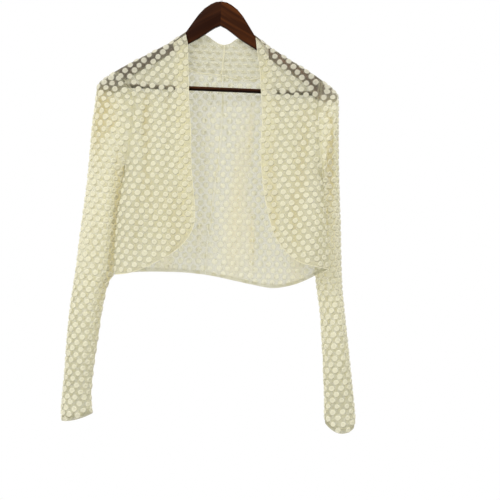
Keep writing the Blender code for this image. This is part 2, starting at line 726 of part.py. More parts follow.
def main():
    for thing in list(bpy.data.objects):
        bpy.data.objects.remove(thing, do_unlink=True)
    scene = bpy.context.scene
    parts = bpy.data.collections.new("Bolero on hanger")
    cutters = bpy.data.collections.new("Cutters")
    scene.collection.children.link(parts)
    scene.collection.children.link(cutters)
    wood = material("Mahogany stained wood", (0.045, 0.016, 0.009), 0.35)
    steel = material("Polished steel", (0.62, 0.62, 0.63), 0.22, 1.0)
    net = material("Ivory spotted net", (0.80, 0.76, 0.58), 0.9)
    add_hanger(parts, cutters, wood, steel)
    add_bolero(parts, net)


main()
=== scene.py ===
"""The looks of a short bolero of sheer spotted net, hung on a wooden coat hanger.

The cloth is a thin shell on the form of its solids, worked out at a fine step from the same cut. Its
turned hems, facings, seams, stitches and raised spots are pieces of their own. Lengths are in
millimetres until a mesh is made, and "left" is the side at -X. The origin is the inside top of the
hanger's hook.
"""

from __future__ import annotations

import logging
import math
from dataclasses import dataclass, field
from enum import Enum

import bpy
import numpy as np
from mathutils import Matrix, Vector


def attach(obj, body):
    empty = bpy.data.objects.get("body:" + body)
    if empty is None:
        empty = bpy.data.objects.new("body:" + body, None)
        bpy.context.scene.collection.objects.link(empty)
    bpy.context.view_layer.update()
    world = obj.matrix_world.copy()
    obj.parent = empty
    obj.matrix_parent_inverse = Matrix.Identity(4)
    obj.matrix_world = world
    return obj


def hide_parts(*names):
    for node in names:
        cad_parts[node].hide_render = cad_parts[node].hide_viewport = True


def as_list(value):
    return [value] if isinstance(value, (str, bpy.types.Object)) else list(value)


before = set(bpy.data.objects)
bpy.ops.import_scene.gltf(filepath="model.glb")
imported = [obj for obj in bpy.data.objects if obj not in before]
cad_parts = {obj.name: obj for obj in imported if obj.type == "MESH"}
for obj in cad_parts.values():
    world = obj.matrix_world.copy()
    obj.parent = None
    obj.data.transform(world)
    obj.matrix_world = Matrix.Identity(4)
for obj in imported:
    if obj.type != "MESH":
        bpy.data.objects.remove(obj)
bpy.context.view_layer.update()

LOG = logging.getLogger("bolero")
MM = 0.001
BODY = "root"
SMOOTH_UNDER = math.radians(38)
# Powers that crowd the grids' lines at their edges
CROWDED = 1.3
CROWDED_NECK = 1.6

Array = np.ndarray
Thing = bpy.types.Object
Look = bpy.types.Material
Socket = bpy.types.NodeSocket
Colour = tuple[float, float, float, float]


class Side(Enum):
    """The two halves of the garment, each with its sign on the X axis."""

    LEFT = -1.0
    RIGHT = 1.0

    @property
    def word(self) -> str:
        """The side's word, as piece names hold it."""
        return self.name.lower()

    @property
    def number(self) -> int:
        """1 on the left and 2 on the right."""
        return 1 if self is Side.LEFT else 2


class Face(Enum):
    """The two faces of the garment's body."""

    FRONT = "front"
    BACK = "back"


class Edge(Enum):
    """The four edges of a grid of cloth."""

    TOP = "first row"
    FOOT = "last row"
    INNER = "first column"
    OUTER = "last column"


@dataclass(frozen=True)
class HalfCut:
    """The outlines, drape and folds of one half of the bolero.

    Outline tables hold (x, z), and a missing z lies on the shoulder line. The armhole holds (z, x on the
    front, x on the back), the side seam (z, x), and a sleeve ring (outer x, outer z, inner x, inner z,
    half depth, y of the middle). A body fold holds (x at the top, z at the top, x at the foot, z at the
    foot, width, rise), and a sleeve fold (start, end, angle at the start, angle at the end, width, rise)
    with its ends as shares of the sleeve and its angles in degrees round it.
    """

    front_edge: tuple
    front_hem: tuple
    back_hem: tuple
    back_neck: tuple
    band_top: tuple
    armhole: tuple
    side_seam: tuple
    sleeve_rings: tuple
    cuff_dip: float
    side_swing: float
    front_folds: tuple
    front_creases: tuple
    sleeve_folds: tuple
    sleeve_creases: tuple
    front_tilt: tuple[float, float]
    sleeve_grain: tuple[float, float]


LEFT_CUT = HalfCut(
    front_edge=(
        (-64.2, None), (-58.5, -157), (-56.4, -182), (-53, -233), (-49.5, -277), (-45, -315), (-43, -354),
        (-37.5, -413), (-31.5, -460), (-32, -484), (-40, -505), (-54, -524), (-73, -540), (-92, -552),
    ),
    front_hem=((-92, -552), (-118, -566), (-143, -576), (-174, -581)),
    back_hem=((-9.5, -575.5), (-42, -573.3), (-102, -573.6), (-150, -577), (-174, -581)),
    back_neck=((-88, None), (-84, -170), (-70, -191), (-49, -203), (-20, -207), (6, -208)),
    band_top=(
        (-64.2, None), (-57.5, -134.4), (-44, -134), (-26, -138), (-10, -148), (0, -152.6), (8, -154),
    ),
    armhole=(
        (-386, -163, -163), (-372, -159, -165.5), (-350, -154, -168.5), (-320, -151, -170.5),
        (-288, -150.5, -172.5), (-256, -153.5, -176), (-236, -165, -180), (-222, -179, -184.5),
        (-211.4, -188, -188),
    ),
    side_seam=((-386, -163), (-412, -166.5), (-448, -170.3), (-490, -173.6), (-537, -175), (-581, -174)),
    sleeve_rings=(
        (-188, -211.4, -163, -386, 26, 0), (-203, -221.8, -162.8, -388.5, 25.5, 0),
        (-208, -225.3, -162.4, -390, 25.5, 0), (-213, -229.2, -162.2, -391.5, 25.5, 0),
        (-218.2, -235.2, -162.2, -394, 25.5, 0), (-220.8, -245, -162.6, -399, 25.5, 1),
        (-223, -272, -163.4, -408, 26, 4), (-227, -306, -164.6, -422, 26.5, 8),
        (-229.6, -350, -166.4, -442, 27, 12), (-232, -394, -168, -466, 27, 15.5),
        (-236, -443, -170.2, -496, 26.5, 17.5), (-241, -492, -172.2, -530, 25.5, 18),
        (-245, -542, -174.5, -562, 24.5, 17), (-246.8, -567, -176.2, -583, 24, 15.5),
        (-249, -593, -185.5, -601, 23.5, 13), (-253.5, -640, -193, -642, 22.5, 8.5),
        (-256.5, -695, -198, -694, 21.5, 5.5), (-257.6, -748, -203.5, -745, 21, 2),
        (-259.7, -797, -206.3, -792, 20.5, 1), (-261, -832, -205, -822, 20.5, 0),
        (-259, -850.5, -201.8, -834.5, 21, 0),
    ),
    cuff_dip=3.0,
    side_swing=9.0,
    front_folds=(
        (-140, -225, -137, -420, 11, 4), (-122, -235, -124, -470, 10, -4),
        (-104, -250, -100, -520, 14, 2.5), (-150, -400, -152, -650, 14, 3), (-68, -400, -60, -620, 16, -3),
    ),
    front_creases=(
        (-131, -215, -129, -360, 4.5, -2), (-146, -235, -143, -330, 4, 1.4), (-96, -205, -84, -330, 6, -1),
        (-78, -180, -70, -300, 6, 0.9), (-112, -380, -110, -500, 6, -1.1),
        (-134, -430, -138, -575, 6, -1.2), (-88, -440, -84, -560, 7, 1.2),
    ),
    sleeve_folds=(
        (0.2, 0.98, 104, 112, 22, 3.2), (0.2, 0.9, 142, 150, 20, -3), (0.05, 0.45, 60, 50, 26, -2.4),
        (0.2, 0.95, 250, 240, 24, 3), (0.25, 0.85, 205, 212, 22, -2.6),
    ),
    sleeve_creases=(
        (0.02, 0.36, 168, 160, 9, -2.6), (0.06, 0.34, 84, 92, 6, -1.6), (0.12, 0.5, 122, 124, 7, -1.4),
        (0.42, 0.8, 70, 84, 8, -1.2), (0.5, 0.72, 40, 96, 8, 1), (0.6, 0.98, 128, 120, 8, -1.2),
        (0.1, 0.45, 300, 292, 8, -1.4), (0.35, 0.85, 268, 276, 8, 1.2), (0.55, 0.95, 226, 234, 8, -1.2),
    ),
    front_tilt=(0.16, 0.02),
    sleeve_grain=(-0.09, -0.996),
)
RIGHT_CUT = HalfCut(
    front_edge=(
        (65, None), (68.5, -162), (73.7, -189.5), (78.5, -233), (82, -267.5), (83.5, -297), (82.5, -338.6),
        (86, -384), (93, -427), (102, -462), (111.5, -493), (127, -518), (146, -537),
    ),
    front_hem=((146, -537), (165, -546), (188, -550.5), (215.6, -555.5)),
    back_hem=(
        (-9.5, -575.5), (15, -579), (46, -584.5), (76.5, -590), (116, -595), (146, -589), (175, -577),
        (195, -566), (215.6, -555.5),
    ),
    back_neck=((92, None), (90, -185), (82, -206), (66, -214), (36, -214.5), (6, -208)),
    band_top=((65, None), (58, -138), (46, -138.8), (31, -142.5), (18, -151.4), (8, -154)),
    armhole=(
        (-386, 196.5, 196.5), (-365, 193.5, 193.5), (-334, 189, 189.5), (-300, 186, 187),
        (-262, 183.5, 185.5), (-228, 185, 186.5), (-211.4, 188, 188),
    ),
    side_seam=((-386, 196.5), (-410, 199.5), (-443, 202.8), (-481, 208), (-521, 212.5), (-555.5, 215.6)),
    sleeve_rings=(
        (188, -211.4, 196.5, -386, 26, 0), (203, -221.8, 196.9, -388.5, 25.5, 0),
        (208, -225.3, 196.3, -390, 25.5, 0), (213, -229.2, 195.8, -391.5, 25.5, 0),
        (218.2, -235.2, 195.4, -395.5, 25.5, 0.3), (220.8, -245, 195.2, -401, 25.5, 1.2),
        (222, -272, 195.6, -411, 26, 4.5), (223.6, -304, 196, -424, 26, 10),
        (225.6, -342, 196.6, -440, 26, 15), (228.4, -384, 196.4, -460, 26, 20),
        (232, -428, 194, -486, 26, 25), (235.8, -474, 191.8, -516, 25.5, 29),
        (239.2, -528, 190.8, -550, 25, 31), (243.4, -583, 195.5, -588, 25, 31),
        (250, -634, 203.5, -634, 24.5, 28), (257.6, -684, 208.5, -682, 23.5, 25),
        (263, -724, 211.8, -721, 22.5, 22), (268.4, -763, 215, -760, 21.5, 19),
        (273.6, -801, 217.8, -797, 21, 16), (276.8, -830, 218.4, -822, 20.5, 14),
        (275.4, -843.5, 220.5, -838, 20.5, 13),
    ),
    cuff_dip=12.0,
    side_swing=24.0,
    front_folds=(
        (172, -225, 178, -430, 11, 3.5), (152, -240, 160, -480, 12, -3), (122, -260, 128, -500, 16, 2.5),
        (186, -420, 192, -650, 13, 3), (105, -300, 118, -560, 12, -3),
    ),
    front_creases=(
        (176, -215, 180, -330, 4, -1.6), (163, -230, 168, -380, 5, -1.2), (136, -210, 142, -400, 6, 1.1),
        (108, -200, 112, -330, 6, -0.9), (140, -400, 152, -540, 7, -1.2), (170, -430, 178, -560, 6, 1.2),
    ),
    sleeve_folds=(
        (0.08, 0.55, 50, 38, 22, 2.8), (0.05, 0.6, 88, 78, 22, -2.6), (0.45, 1.02, 60, 85, 24, 2.6),
        (0.25, 0.9, 255, 262, 24, 3), (0.3, 0.95, 300, 292, 24, -2.4),
    ),
    sleeve_creases=(
        (0.02, 0.22, 62, 76, 5, -1.8), (0.03, 0.26, 76, 94, 5, 1.4), (0.1, 0.46, 112, 104, 7, -1.4),
        (0.4, 0.7, 110, 98, 8, -1.4), (0.55, 0.98, 116, 112, 8, -1.2), (0.15, 0.5, 236, 244, 8, -1.4),
        (0.4, 0.85, 278, 270, 8, 1.2), (0.6, 0.98, 230, 226, 8, -1.2),
    ),
    front_tilt=(-0.16, -0.12),
    sleeve_grain=(0.09, -0.996),
)
CUTS = {Side.LEFT: LEFT_CUT, Side.RIGHT: RIGHT_CUT}

BACK_FOLDS = (
    (-120, -240, -128, -680, 18, 3.5), (-85, -300, -80, -680, 18, -3.5), (-44, -260, -46, -680, 20, 3),
    (45, -260, 40, -680, 20, -3.5), (90, -240, 116, -700, 22, 7), (140, -260, 160, -680, 18, -4),
)
BACK_CREASES = (
    (-60, -225, -52, -420, 7, -1), (-24, -230, -30, -470, 7, 0.9), (28, -235, 24, -450, 8, 1),
    (64, -230, 62, -400, 7, -1), (-100, -380, -106, -560, 8, -1.2), (-20, -440, -28, -570, 7, -0.9),
    (70, -430, 78, -590, 9, -1.6), (128, -420, 138, -590, 9, 1.6),
)
CENTRE_BACK = (
    (6, -208), (9.5, -240), (8.5, -300), (6.5, -351), (1.7, -402), (-4.5, -476), (-9, -530), (-9.5, -575.5),
)
BAND_CENTRE = ((8, -154), (7.5, -180), (6, -208))
# Soft creases across the neck band, as (z, slope across, width, rise)
BAND_CREASES = (
    (-163, 0.05, 2.6, -0.8), (-172, -0.04, 3, 0.9), (-183, 0.03, 2.8, -0.9), (-193, -0.05, 3, 0.8),
)
# The hanger's arm from its joint to its tip, as (x, top, foot)
ARM = (
    (0, -77.5, -121.5), (10, -78.8, -126), (19, -83.2, -132), (30, -91.2, -140), (40, -102.4, -147),
    (48, -114, -151.5), (62, -135.5, -159.5), (75, -145.5, -167.5), (88, -155.5, -176), (115, -171, -193),
    (148, -189.8, -212.5), (168, -201, -226), (178, -206.7, -247), (190, -215, -252), (208, -228.5, -252),
    (214, -235, -251), (217, -241, -247.5),
)


def smooth(knots: Array, values: Array, at: Array) -> Array:
    """Reads a curve through the rows of a table.

    Args:
        knots: The rows' places, rising.
        values: The rows' values.
        at: The places to read.

    Returns:
        The curve's values, each slope taken from the rows beside it.
    """
    knots = np.asarray(knots, float)
    values = np.asarray(values, float)
    slopes = np.gradient(values, knots)
    at = np.clip(at, knots[0], knots[-1])
    i = np.clip(np.searchsorted(knots, at) - 1, 0, len(knots) - 2)
    gap = knots[i + 1] - knots[i]
    t = (at - knots[i]) / gap
    start = (2 * t**3 - 3 * t**2 + 1) * values[i] + (t**3 - 2 * t**2 + t) * gap * slopes[i]
    end = (3 * t**2 - 2 * t**3) * values[i + 1] + (t**3 - t**2) * gap * slopes[i + 1]
    return start + end


def ease(t: Array) -> Array:
    """A soft step from 0 to 1."""
    t = np.clip(t, 0.0, 1.0)
    return t * t * (3 - 2 * t)


def unit(vectors: Array) -> Array:
    """The same vectors at length 1."""
    return vectors / np.maximum(np.linalg.norm(vectors, axis=-1, keepdims=True), 1e-9)


def lengths_along(line: Array) -> Array:
    """The length run at each point of a line, from 0."""
    steps = np.linalg.norm(np.diff(line, axis=0), axis=-1)
    return np.concatenate([[0.0], np.cumsum(steps)])


def curve_through(points: Array, steps: int = 160) -> Array:
    """A fine smooth line through a few points of an outline."""
    points = np.asarray(points, float)
    run = lengths_along(points)
    at = np.linspace(0, run[-1], steps)
    return np.column_stack([smooth(run, points[:, k], at) for k in range(points.shape[1])])


def spread(line: Array, shares: Array) -> Array:
    """Points of a fine line at these shares of its length."""
    run = lengths_along(line)
    at = np.asarray(shares) * run[-1]
    return np.column_stack([np.interp(at, run, line[:, k]) for k in range(line.shape[1])])


def crowd_end(count: int, power: float) -> Array:
    """Shares from 0 to 1 whose steps shorten towards 1."""
    return 1 - (1 - np.linspace(0, 1, count)) ** power


def fill(
    top: Array, foot: Array, inner: Array, outer: Array,
    across: Array, down: Array,
) -> Array:
    """A grid between four edges.

    Args:
        top: The first row.
        foot: The last row.
        inner: The first column.
        outer: The last column.
        across: The columns' shares from inner to outer.
        down: The rows' shares from top to foot.

    Returns:
        The grid's points, row by row.
    """
    u = np.asarray(across)[None, :, None]
    v = np.asarray(down)[:, None, None]
    between = (1 - v) * top[None] + v * foot[None] + (1 - u) * inner[:, None] + u * outer[:, None]
    upper = (1 - u) * top[0] + u * top[-1]
    lower = (1 - u) * foot[0] + u * foot[-1]
    return between - (1 - v) * upper - v * lower


def read_grid(values: Array, rows: Array, columns: Array) -> Array:
    """Reads a grid between its points.

    Args:
        values: The grid's values, by row and column.
        rows: The rows to read, which may lie between two.
        columns: The columns to read, which may lie between two.

    Returns:
        One value for each place, held at the grid's edges.
    """
    last_row, last_column = values.shape[0] - 1, values.shape[1] - 1
    rows = np.clip(rows, 0, last_row)
    columns = np.clip(columns, 0, last_column)
    r = np.minimum(rows.astype(int), last_row - 1)
    c = np.minimum(columns.astype(int), last_column - 1)
    a, b = rows - r, columns - c
    if values.ndim == 3:
        a, b = a[..., None], b[..., None]
    upper = values[r, c] * (1 - b) + values[r, c + 1] * b
    lower = values[r + 1, c] * (1 - b) + values[r + 1, c + 1] * b
    return upper * (1 - a) + lower * a


def fitted(by_row: Array, by_column: Array, rounds: int = 400) -> Array:
    """Values over a grid whose steps come nearest to these.

    Args:
        by_row: The wanted step from each row to the next.
        by_column: The wanted step from each column to the next.
        rounds: The most rounds of conjugate gradients.

    Returns:
        The values, with a mean of 0.
    """
    def spread_back(rows: Array, columns: Array) -> Array:
        """Sums of the steps that end at each point, less those that start there."""
        total = np.zeros((columns.shape[0], rows.shape[1]))
        total[1:] += rows
        total[:-1] -= rows
        total[:, 1:] += columns
        total[:, :-1] -= columns
        return total

    left = spread_back(by_row, by_column)
    values = np.zeros_like(left)
    way = left.copy()
    size = (left**2).sum()
    for _ in range(rounds):
        pushed = spread_back(np.diff(way, axis=0), np.diff(way, axis=1))
        share = size / (way * pushed).sum()
        values += share * way
        left -= share * pushed
        fresh = (left**2).sum()
        if fresh < 1e-6:
            break
        way = left + way * (fresh / size)
        size = fresh
    return values - values.mean()


def flattened(points: Array, normals: Array, grain: Array) -> Array:
    """Lays a stretch of cloth out flat.

    Args:
        points: The cloth's points, by row and column.
        normals: Its normals.
        grain: The way down the cloth.

    Returns:
        How far each point lies across and down, in millimetres.
    """
    down = unit(grain - (normals @ grain)[..., None] * normals)
    across = np.cross(down, normals)
    laid = []
    for lead in (across, down):
        by_row = (np.diff(points, axis=0) * (lead[1:] + lead[:-1]) / 2).sum(axis=2)
        by_column = (np.diff(points, axis=1) * (lead[:, 1:] + lead[:, :-1]) / 2).sum(axis=2)
        laid.append(fitted(by_row, by_column))
    return np.stack(laid, axis=-1)


@dataclass
class ClothGrid:
    """A stretch of cloth: points of its outer face, its normals, and each point's place in the repeat.

    Attributes:
        points: Rows by columns of points in millimetres.
        normals: The outward normals there.
        place: Distances across and down the cloth's grain, in millimetres.
        closed: True on a tube, whose last column repeats the first.
    """

    points: Array
    normals: Array
    place: Array
    closed: bool = False

    def sunk(self, depth: float) -> ClothGrid:
        """The same cloth, moved in by a depth."""
        return ClothGrid(self.points - self.normals * depth, self.normals, self.place, self.closed)

    def turned(self) -> ClothGrid:
        """The same cloth, facing the other way."""
        return ClothGrid(self.points, -self.normals, self.place, self.closed)

    def edge_first(self, edge: Edge) -> ClothGrid:
        """The grid laid so that one of its edges is the first column."""
        def lay(values: Array) -> Array:
            """One array of the grid, laid the same way."""
            if edge in (Edge.TOP, Edge.FOOT):
                values = values.swapaxes(0, 1)
            return values[:, ::-1] if edge in (Edge.FOOT, Edge.OUTER) else values

        return ClothGrid(lay(self.points), lay(self.normals), lay(self.place))

    def strip(self, edge: Edge, width: float | Array, steps: int = 5, start: float = 0.0) -> ClothGrid:
        """A strip of the cloth along one edge.

        Args:
            edge: The edge that the strip follows.
            width: How far it reaches in from the edge, the same all along or for each line.
            steps: The points across the strip.
            start: How far in from the edge the strip begins.

        Returns:
            The strip, with its first column nearest the edge.
        """
        laid = self.edge_first(edge)
        wide = np.broadcast_to(np.asarray(width, float), (len(laid.points),))
        stacked = np.concatenate([laid.points, laid.normals, laid.place], axis=2)
        made = np.zeros((len(stacked), steps, stacked.shape[2]))
        for row, line in enumerate(stacked):
            run = lengths_along(line[:, :3])
            at = start + (wide[row] - start) * np.linspace(0, 1, steps)
            for k in range(stacked.shape[2]):
                made[row, :, k] = np.interp(at, run, line[:, k])
        return ClothGrid(made[..., :3], unit(made[..., 3:6]), made[..., 6:8])

    def moved(self, by: tuple[float, float]) -> ClothGrid:
        """The same open cloth, with its repeat moved across and down."""
        return ClothGrid(self.points, self.normals, self.place + np.array(by))

    def rows(self, start: int, stop: int | None) -> ClothGrid:
        """Some of the grid's rows."""
        part = slice(start, stop)
        return ClothGrid(self.points[part], self.normals[part], self.place[part])

    def area(self) -> float:
        """The cloth's area in square metres."""
        across = np.diff(self.points, axis=1)[:-1]
        down = np.diff(self.points, axis=0)[:, :-1]
        return float(np.linalg.norm(np.cross(across, down), axis=-1).sum()) * MM * MM


class MeshMaker:
    """Turns arrays of points into mesh objects of the scene."""

    @staticmethod
    def make(
        name: str, points: Array, faces: list,
        uv: Array | None = None, shade: Array | None = None,
    ) -> Thing:
        """A new object at the origin.

        Args:
            name: The object's name.
            points: Its vertices, in millimetres.
            faces: Its faces, as lists of vertex numbers.
            uv: The cloth's place in metres at each corner of the faces, in their order.
            shade: A number for each vertex, which its finish reads.

        Returns:
            The smooth-shaded object.
        """
        mesh = bpy.data.meshes.new(name)
        mesh.from_pydata((np.asarray(points) * MM).tolist(), [], faces)
        if uv is not None:
            layer = mesh.uv_layers.new(name="cloth")
            layer.data.foreach_set("uv", np.asarray(uv, np.float32).ravel())
        if shade is not None:
            layer = mesh.attributes.new("shade", "FLOAT", "POINT")
            layer.data.foreach_set("value", np.asarray(shade, np.float32).ravel())
        mesh.update()
        mesh.shade_smooth()
        thing = bpy.data.objects.new(name, mesh)
        bpy.context.scene.collection.objects.link(thing)
        return thing

    @classmethod
    def wall(
        cls, name: str, cloth: ClothGrid, thickness: float, shade: Array | None = None
    ) -> Thing:
        """A closed thin wall whose outer face is the cloth's.

        Args:
            name: The object's name.
            cloth: The cloth, which may be a tube.
            thickness: The wall's thickness in millimetres.
            shade: How deep in a trough each point lies, up to 1, and under 0 where the net hides less.

        Returns:
            The object, with the cloth's place as its UV map in metres.
        """
        points, normals = cloth.points, cloth.normals
        rows, wide = points.shape[:2]
        columns = wide - 1 if cloth.closed else wide
        outer = points[:, :columns].reshape(-1, 3)
        inner = (points - normals * thickness)[:, :columns].reshape(-1, 3)
        behind = rows * columns
        r, c = np.meshgrid(np.arange(rows - 1), np.arange(wide - 1), indexing="ij")
        r, c = r.ravel(), c.ravel()
        corners = [(r, c), (r, c + 1), (r + 1, c + 1), (r + 1, c)]
        quads = np.stack([row * columns + column % columns for row, column in corners], axis=1)
        spots = np.stack([cloth.place[row, column] for row, column in corners], axis=1)
        one, two, three, four = (outer[quads[:, k]] for k in range(4))
        turn = np.cross(three - one, four - two)
        if (turn * normals[:, :columns].reshape(-1, 3)[quads[:, 0]]).sum() < 0:
            quads, spots = quads[:, ::-1], spots[:, ::-1]
        faces = [quads, quads[:, ::-1] + behind]
        places = [spots, spots[:, ::-1]]
        flat_place = cloth.place[:, :columns].reshape(-1, 2)
        ends = np.concatenate([quads[:, [k, (k + 1) % 4]] for k in range(4)])
        keys = np.sort(ends, axis=1)
        _, index, count = np.unique(keys, axis=0, return_inverse=True, return_counts=True)
        rim = ends[count[index.reshape(-1)] == 1]
        faces.append(np.stack([rim[:, 1], rim[:, 0], rim[:, 0] + behind, rim[:, 1] + behind], axis=1))
        places.append(flat_place[np.stack([rim[:, 1], rim[:, 0], rim[:, 0], rim[:, 1]], axis=1)])
        uv = np.concatenate(places).reshape(-1, 2) * MM
        if shade is not None:
            shade = np.tile(shade[:, :columns].ravel(), 2)
        made = cls.make(name, np.vstack([outer, inner]), np.concatenate(faces).tolist(), uv, shade)
        made.data.set_sharp_from_angle(angle=math.radians(70))
        return made

    @classmethod
    def tube(cls, name: str, line: Array, radius: float, sides: int = 6) -> Thing:
        """A round tube along a line, closed at both ends."""
        vertices, faces = tube_parts(line, radius, sides)
        return cls.make(name, vertices, faces)


def tube_parts(line: Array, radius: float | Array, sides: int) -> tuple[Array, list]:
    """The vertices and faces of a round tube along a line.

    Args:
        line: The points of its centreline.
        radius: Its radius, the same all along or for each point.
        sides: The sides of its section.

    Returns:
        Its vertices and its faces, with a flat cap at each end.
    """
    line = np.asarray(line, float)
    along = unit(np.gradient(line, axis=0))
    aside = np.cross(along, (0.0, 1.0, 0.0))
    aside = np.where(np.linalg.norm(aside, axis=1, keepdims=True) < 1e-3, (1.0, 0.0, 0.0), aside)
    aside = unit(aside)
    third = np.cross(along, aside)
    turn = np.linspace(0, 2 * math.pi, sides, endpoint=False)
    wide = np.broadcast_to(np.asarray(radius, float), (len(line),))[:, None, None]
    ring = np.cos(turn)[None, :, None] * aside[:, None] + np.sin(turn)[None, :, None] * third[:, None]
    vertices = (line[:, None] + wide * ring).reshape(-1, 3)
    faces = [list(range(sides)), [(len(line) - 1) * sides + k for k in reversed(range(sides))]]
    for row in range(len(line) - 1):
        for k in range(sides):
            a, b = row * sides + k, row * sides + (k + 1) % sides
            faces.append([a, a + sides, b + sides, b])
    return vertices, faces


@dataclass(frozen=True)
class BodyForm:
    """The outer surface of the bolero's body: a soft cushion closed at the shoulders and side seams.

    Its sizes are those of the solids, in millimetres.
    """

    lift: float = 2.6
    shoulder_radius: float = 9.6
    growth: float = 18.0
    growth_reach: float = 220.0
    side_round: float = 45.0
    steepest: float = 0.75
    folds_below: float = 25.0
    folds_run: float = 60.0
    swing_from: float = 90.0
    swing_run: float = 90.0
    swing_above_underarm: float = 30.0
    swing_drop: float = 130.0
    seam_gap: float = 0.3
    creases_below: float = 8.0
    creases_run: float = 26.0
    full_shade: float = 1.9

    def arm_top(self, x: Array) -> Array:
        """Upper edge of the hanger's wood at this x."""
        table = np.array(ARM)
        return np.interp(np.abs(x), table[:, 0], table[:, 1])

    def shoulder(self, x: Array) -> Array:
        """Height of the line where front and back meet over the hanger."""
        return self.arm_top(x) + self.lift

    def on_shoulder(self, points: tuple) -> Array:
        """An outline table whose missing heights are put on the shoulder line."""
        return np.array([(x, self.shoulder(x) if z is None else z) for x, z in points], float)

    def seam_x(self, side: Side, z: Array) -> Array:
        """The side seam's x at a height."""
        table = np.array(CUTS[side].side_seam)[::-1]
        return smooth(table[:, 0], table[:, 1], z)

    def armhole_x(self, side: Side, face: Face, z: Array) -> Array:
        """The armhole's x at a height, on one face."""
        table = np.array(CUTS[side].armhole)
        return smooth(table[:, 0], table[:, 1 if face is Face.FRONT else 2], z)

    @staticmethod
    def fold_rise(rows: tuple, x: Array, z: Array) -> Array:
        """How far soft ridges and troughs stand out at a point."""
        total = np.zeros_like(x)
        for x_top, z_top, x_foot, z_foot, width, rise in rows:
            t = np.clip((z_top - z) / (z_top - z_foot), 0, 1)
            centre = x_top + (x_foot - x_top) * t
            total = total + rise * np.exp(-(((x - centre) / width) ** 2)) * np.sin(math.pi * t)
        return total

    @staticmethod
    def tables(face: Face) -> tuple[tuple, tuple]:
        """The folds and the creases of one face."""
        left, right = CUTS[Side.LEFT], CUTS[Side.RIGHT]
        if face is Face.FRONT:
            return left.front_folds + right.front_folds, left.front_creases + right.front_creases
        return BACK_FOLDS, BACK_CREASES

    def shade(self, face: Face, x: Array, z: Array) -> Array:
        """How deep in a trough the cloth lies, from 0 to 1, which the net shows as painted shade."""
        folds, creases = self.tables(face)
        rise = self.fold_rise(creases, x, z) + self.fold_rise(folds, x, z) / 3
        return np.clip(-rise / self.full_shade, 0, 1)

    def y(self, face: Face, x: Array, z: Array) -> Array:
        """Depth of the cloth's outer surface.

        Args:
            face: The front or the back.
            x: Places across.
            z: Heights.

        Returns:
            The surface's y at each place.
        """
        slope = np.minimum(np.abs(self.arm_top(x + 1) - self.arm_top(x - 1)) / 2, self.steepest)
        below = np.maximum(self.shoulder(x) - z, 0) / np.sqrt(1 + slope**2)
        near = np.minimum(below, self.shoulder_radius)
        depth = np.sqrt(self.shoulder_radius**2 - (self.shoulder_radius - near) ** 2)
        depth = depth + self.growth * ease(below / self.growth_reach)
        underarm = CUTS[Side.LEFT].side_seam[0][0]
        on_left = x < 0
        seam = np.where(on_left, self.seam_x(Side.LEFT, z), self.seam_x(Side.RIGHT, z))
        inside = np.maximum((seam - x) * np.where(on_left, -1.0, 1.0), 0)
        above = np.maximum(z - underarm, 0)
        edge = np.minimum(np.hypot(inside, above) / self.side_round, 1)
        depth = depth * np.sqrt(1 - (1 - edge) ** 2)
        left, right = CUTS[Side.LEFT], CUTS[Side.RIGHT]
        folds, creases = self.tables(face)
        soft = ease((below - self.folds_below) / self.folds_run) * edge
        depth = depth + soft * self.fold_rise(folds, x, z)
        fine = ease((below - self.creases_below) / self.creases_run) * edge
        depth = depth + fine * self.fold_rise(creases, x, z)
        swing = np.where(on_left, left.side_swing, right.side_swing)
        swing = swing * ease((np.abs(x) - self.swing_from) / self.swing_run)
        middle = -swing * ease((underarm + self.swing_above_underarm - z) / self.swing_drop)
        deep = np.maximum(depth, self.seam_gap / 2)
        return middle - deep if face is Face.FRONT else middle + deep

    def raised(self, face: Face, flat: Array) -> tuple[Array, Array]:
        """Points and outward normals of the surface over a grid of (x, z)."""
        x, z = flat[..., 0], flat[..., 1]
        step = 0.2
        points = np.stack([x, self.y(face, x, z), z], axis=-1)
        slope_x = (self.y(face, x + step, z) - self.y(face, x - step, z)) / (2 * step)
        slope_z = (self.y(face, x, z + step) - self.y(face, x, z - step)) / (2 * step)
        out = unit(np.stack([-slope_x, np.ones_like(x), -slope_z], axis=-1))
        return points, -out if face is Face.FRONT else out

    def place(
        self, face: Face, flat: Array, middle_x: float, level_z: float, tilt: tuple[float, float]
    ) -> Array:
        """How far each point lies across and down the cloth's grain.

        Args:
            face: The front or the back.
            flat: A grid of (x, z).
            middle_x: The upright line that distances across start from.
            level_z: The height at which rows of the repeat run level.
            tilt: How far the rows drop for each millimetre across, at the top and at the foot.

        Returns:
            The distances across and down, in millimetres.
        """
        x, z = flat[..., 0], flat[..., 1]
        steps = np.linspace(0, 1, 25)
        line_x = middle_x + (x[..., None] - middle_x) * steps
        line_y = self.y(face, line_x, np.broadcast_to(z[..., None], line_x.shape))
        across = np.hypot(np.diff(line_x, axis=-1), np.diff(line_y, axis=-1)).sum(axis=-1)
        across = across * np.sign(x - middle_x)
        line_z = z[..., None] + (level_z - z[..., None]) * steps**2
        line_y = self.y(face, np.broadcast_to(x[..., None], line_z.shape), line_z)
        down = np.hypot(np.diff(line_z, axis=-1), np.diff(line_y, axis=-1)).sum(axis=-1)
        down = down * np.sign(level_z - z)
        top, foot = tilt
        share = ease((-230.0 - z) / 220.0)
        return np.stack([across, down - (top + (foot - top) * share) * (x - middle_x)], axis=-1)


FORM = BodyForm()


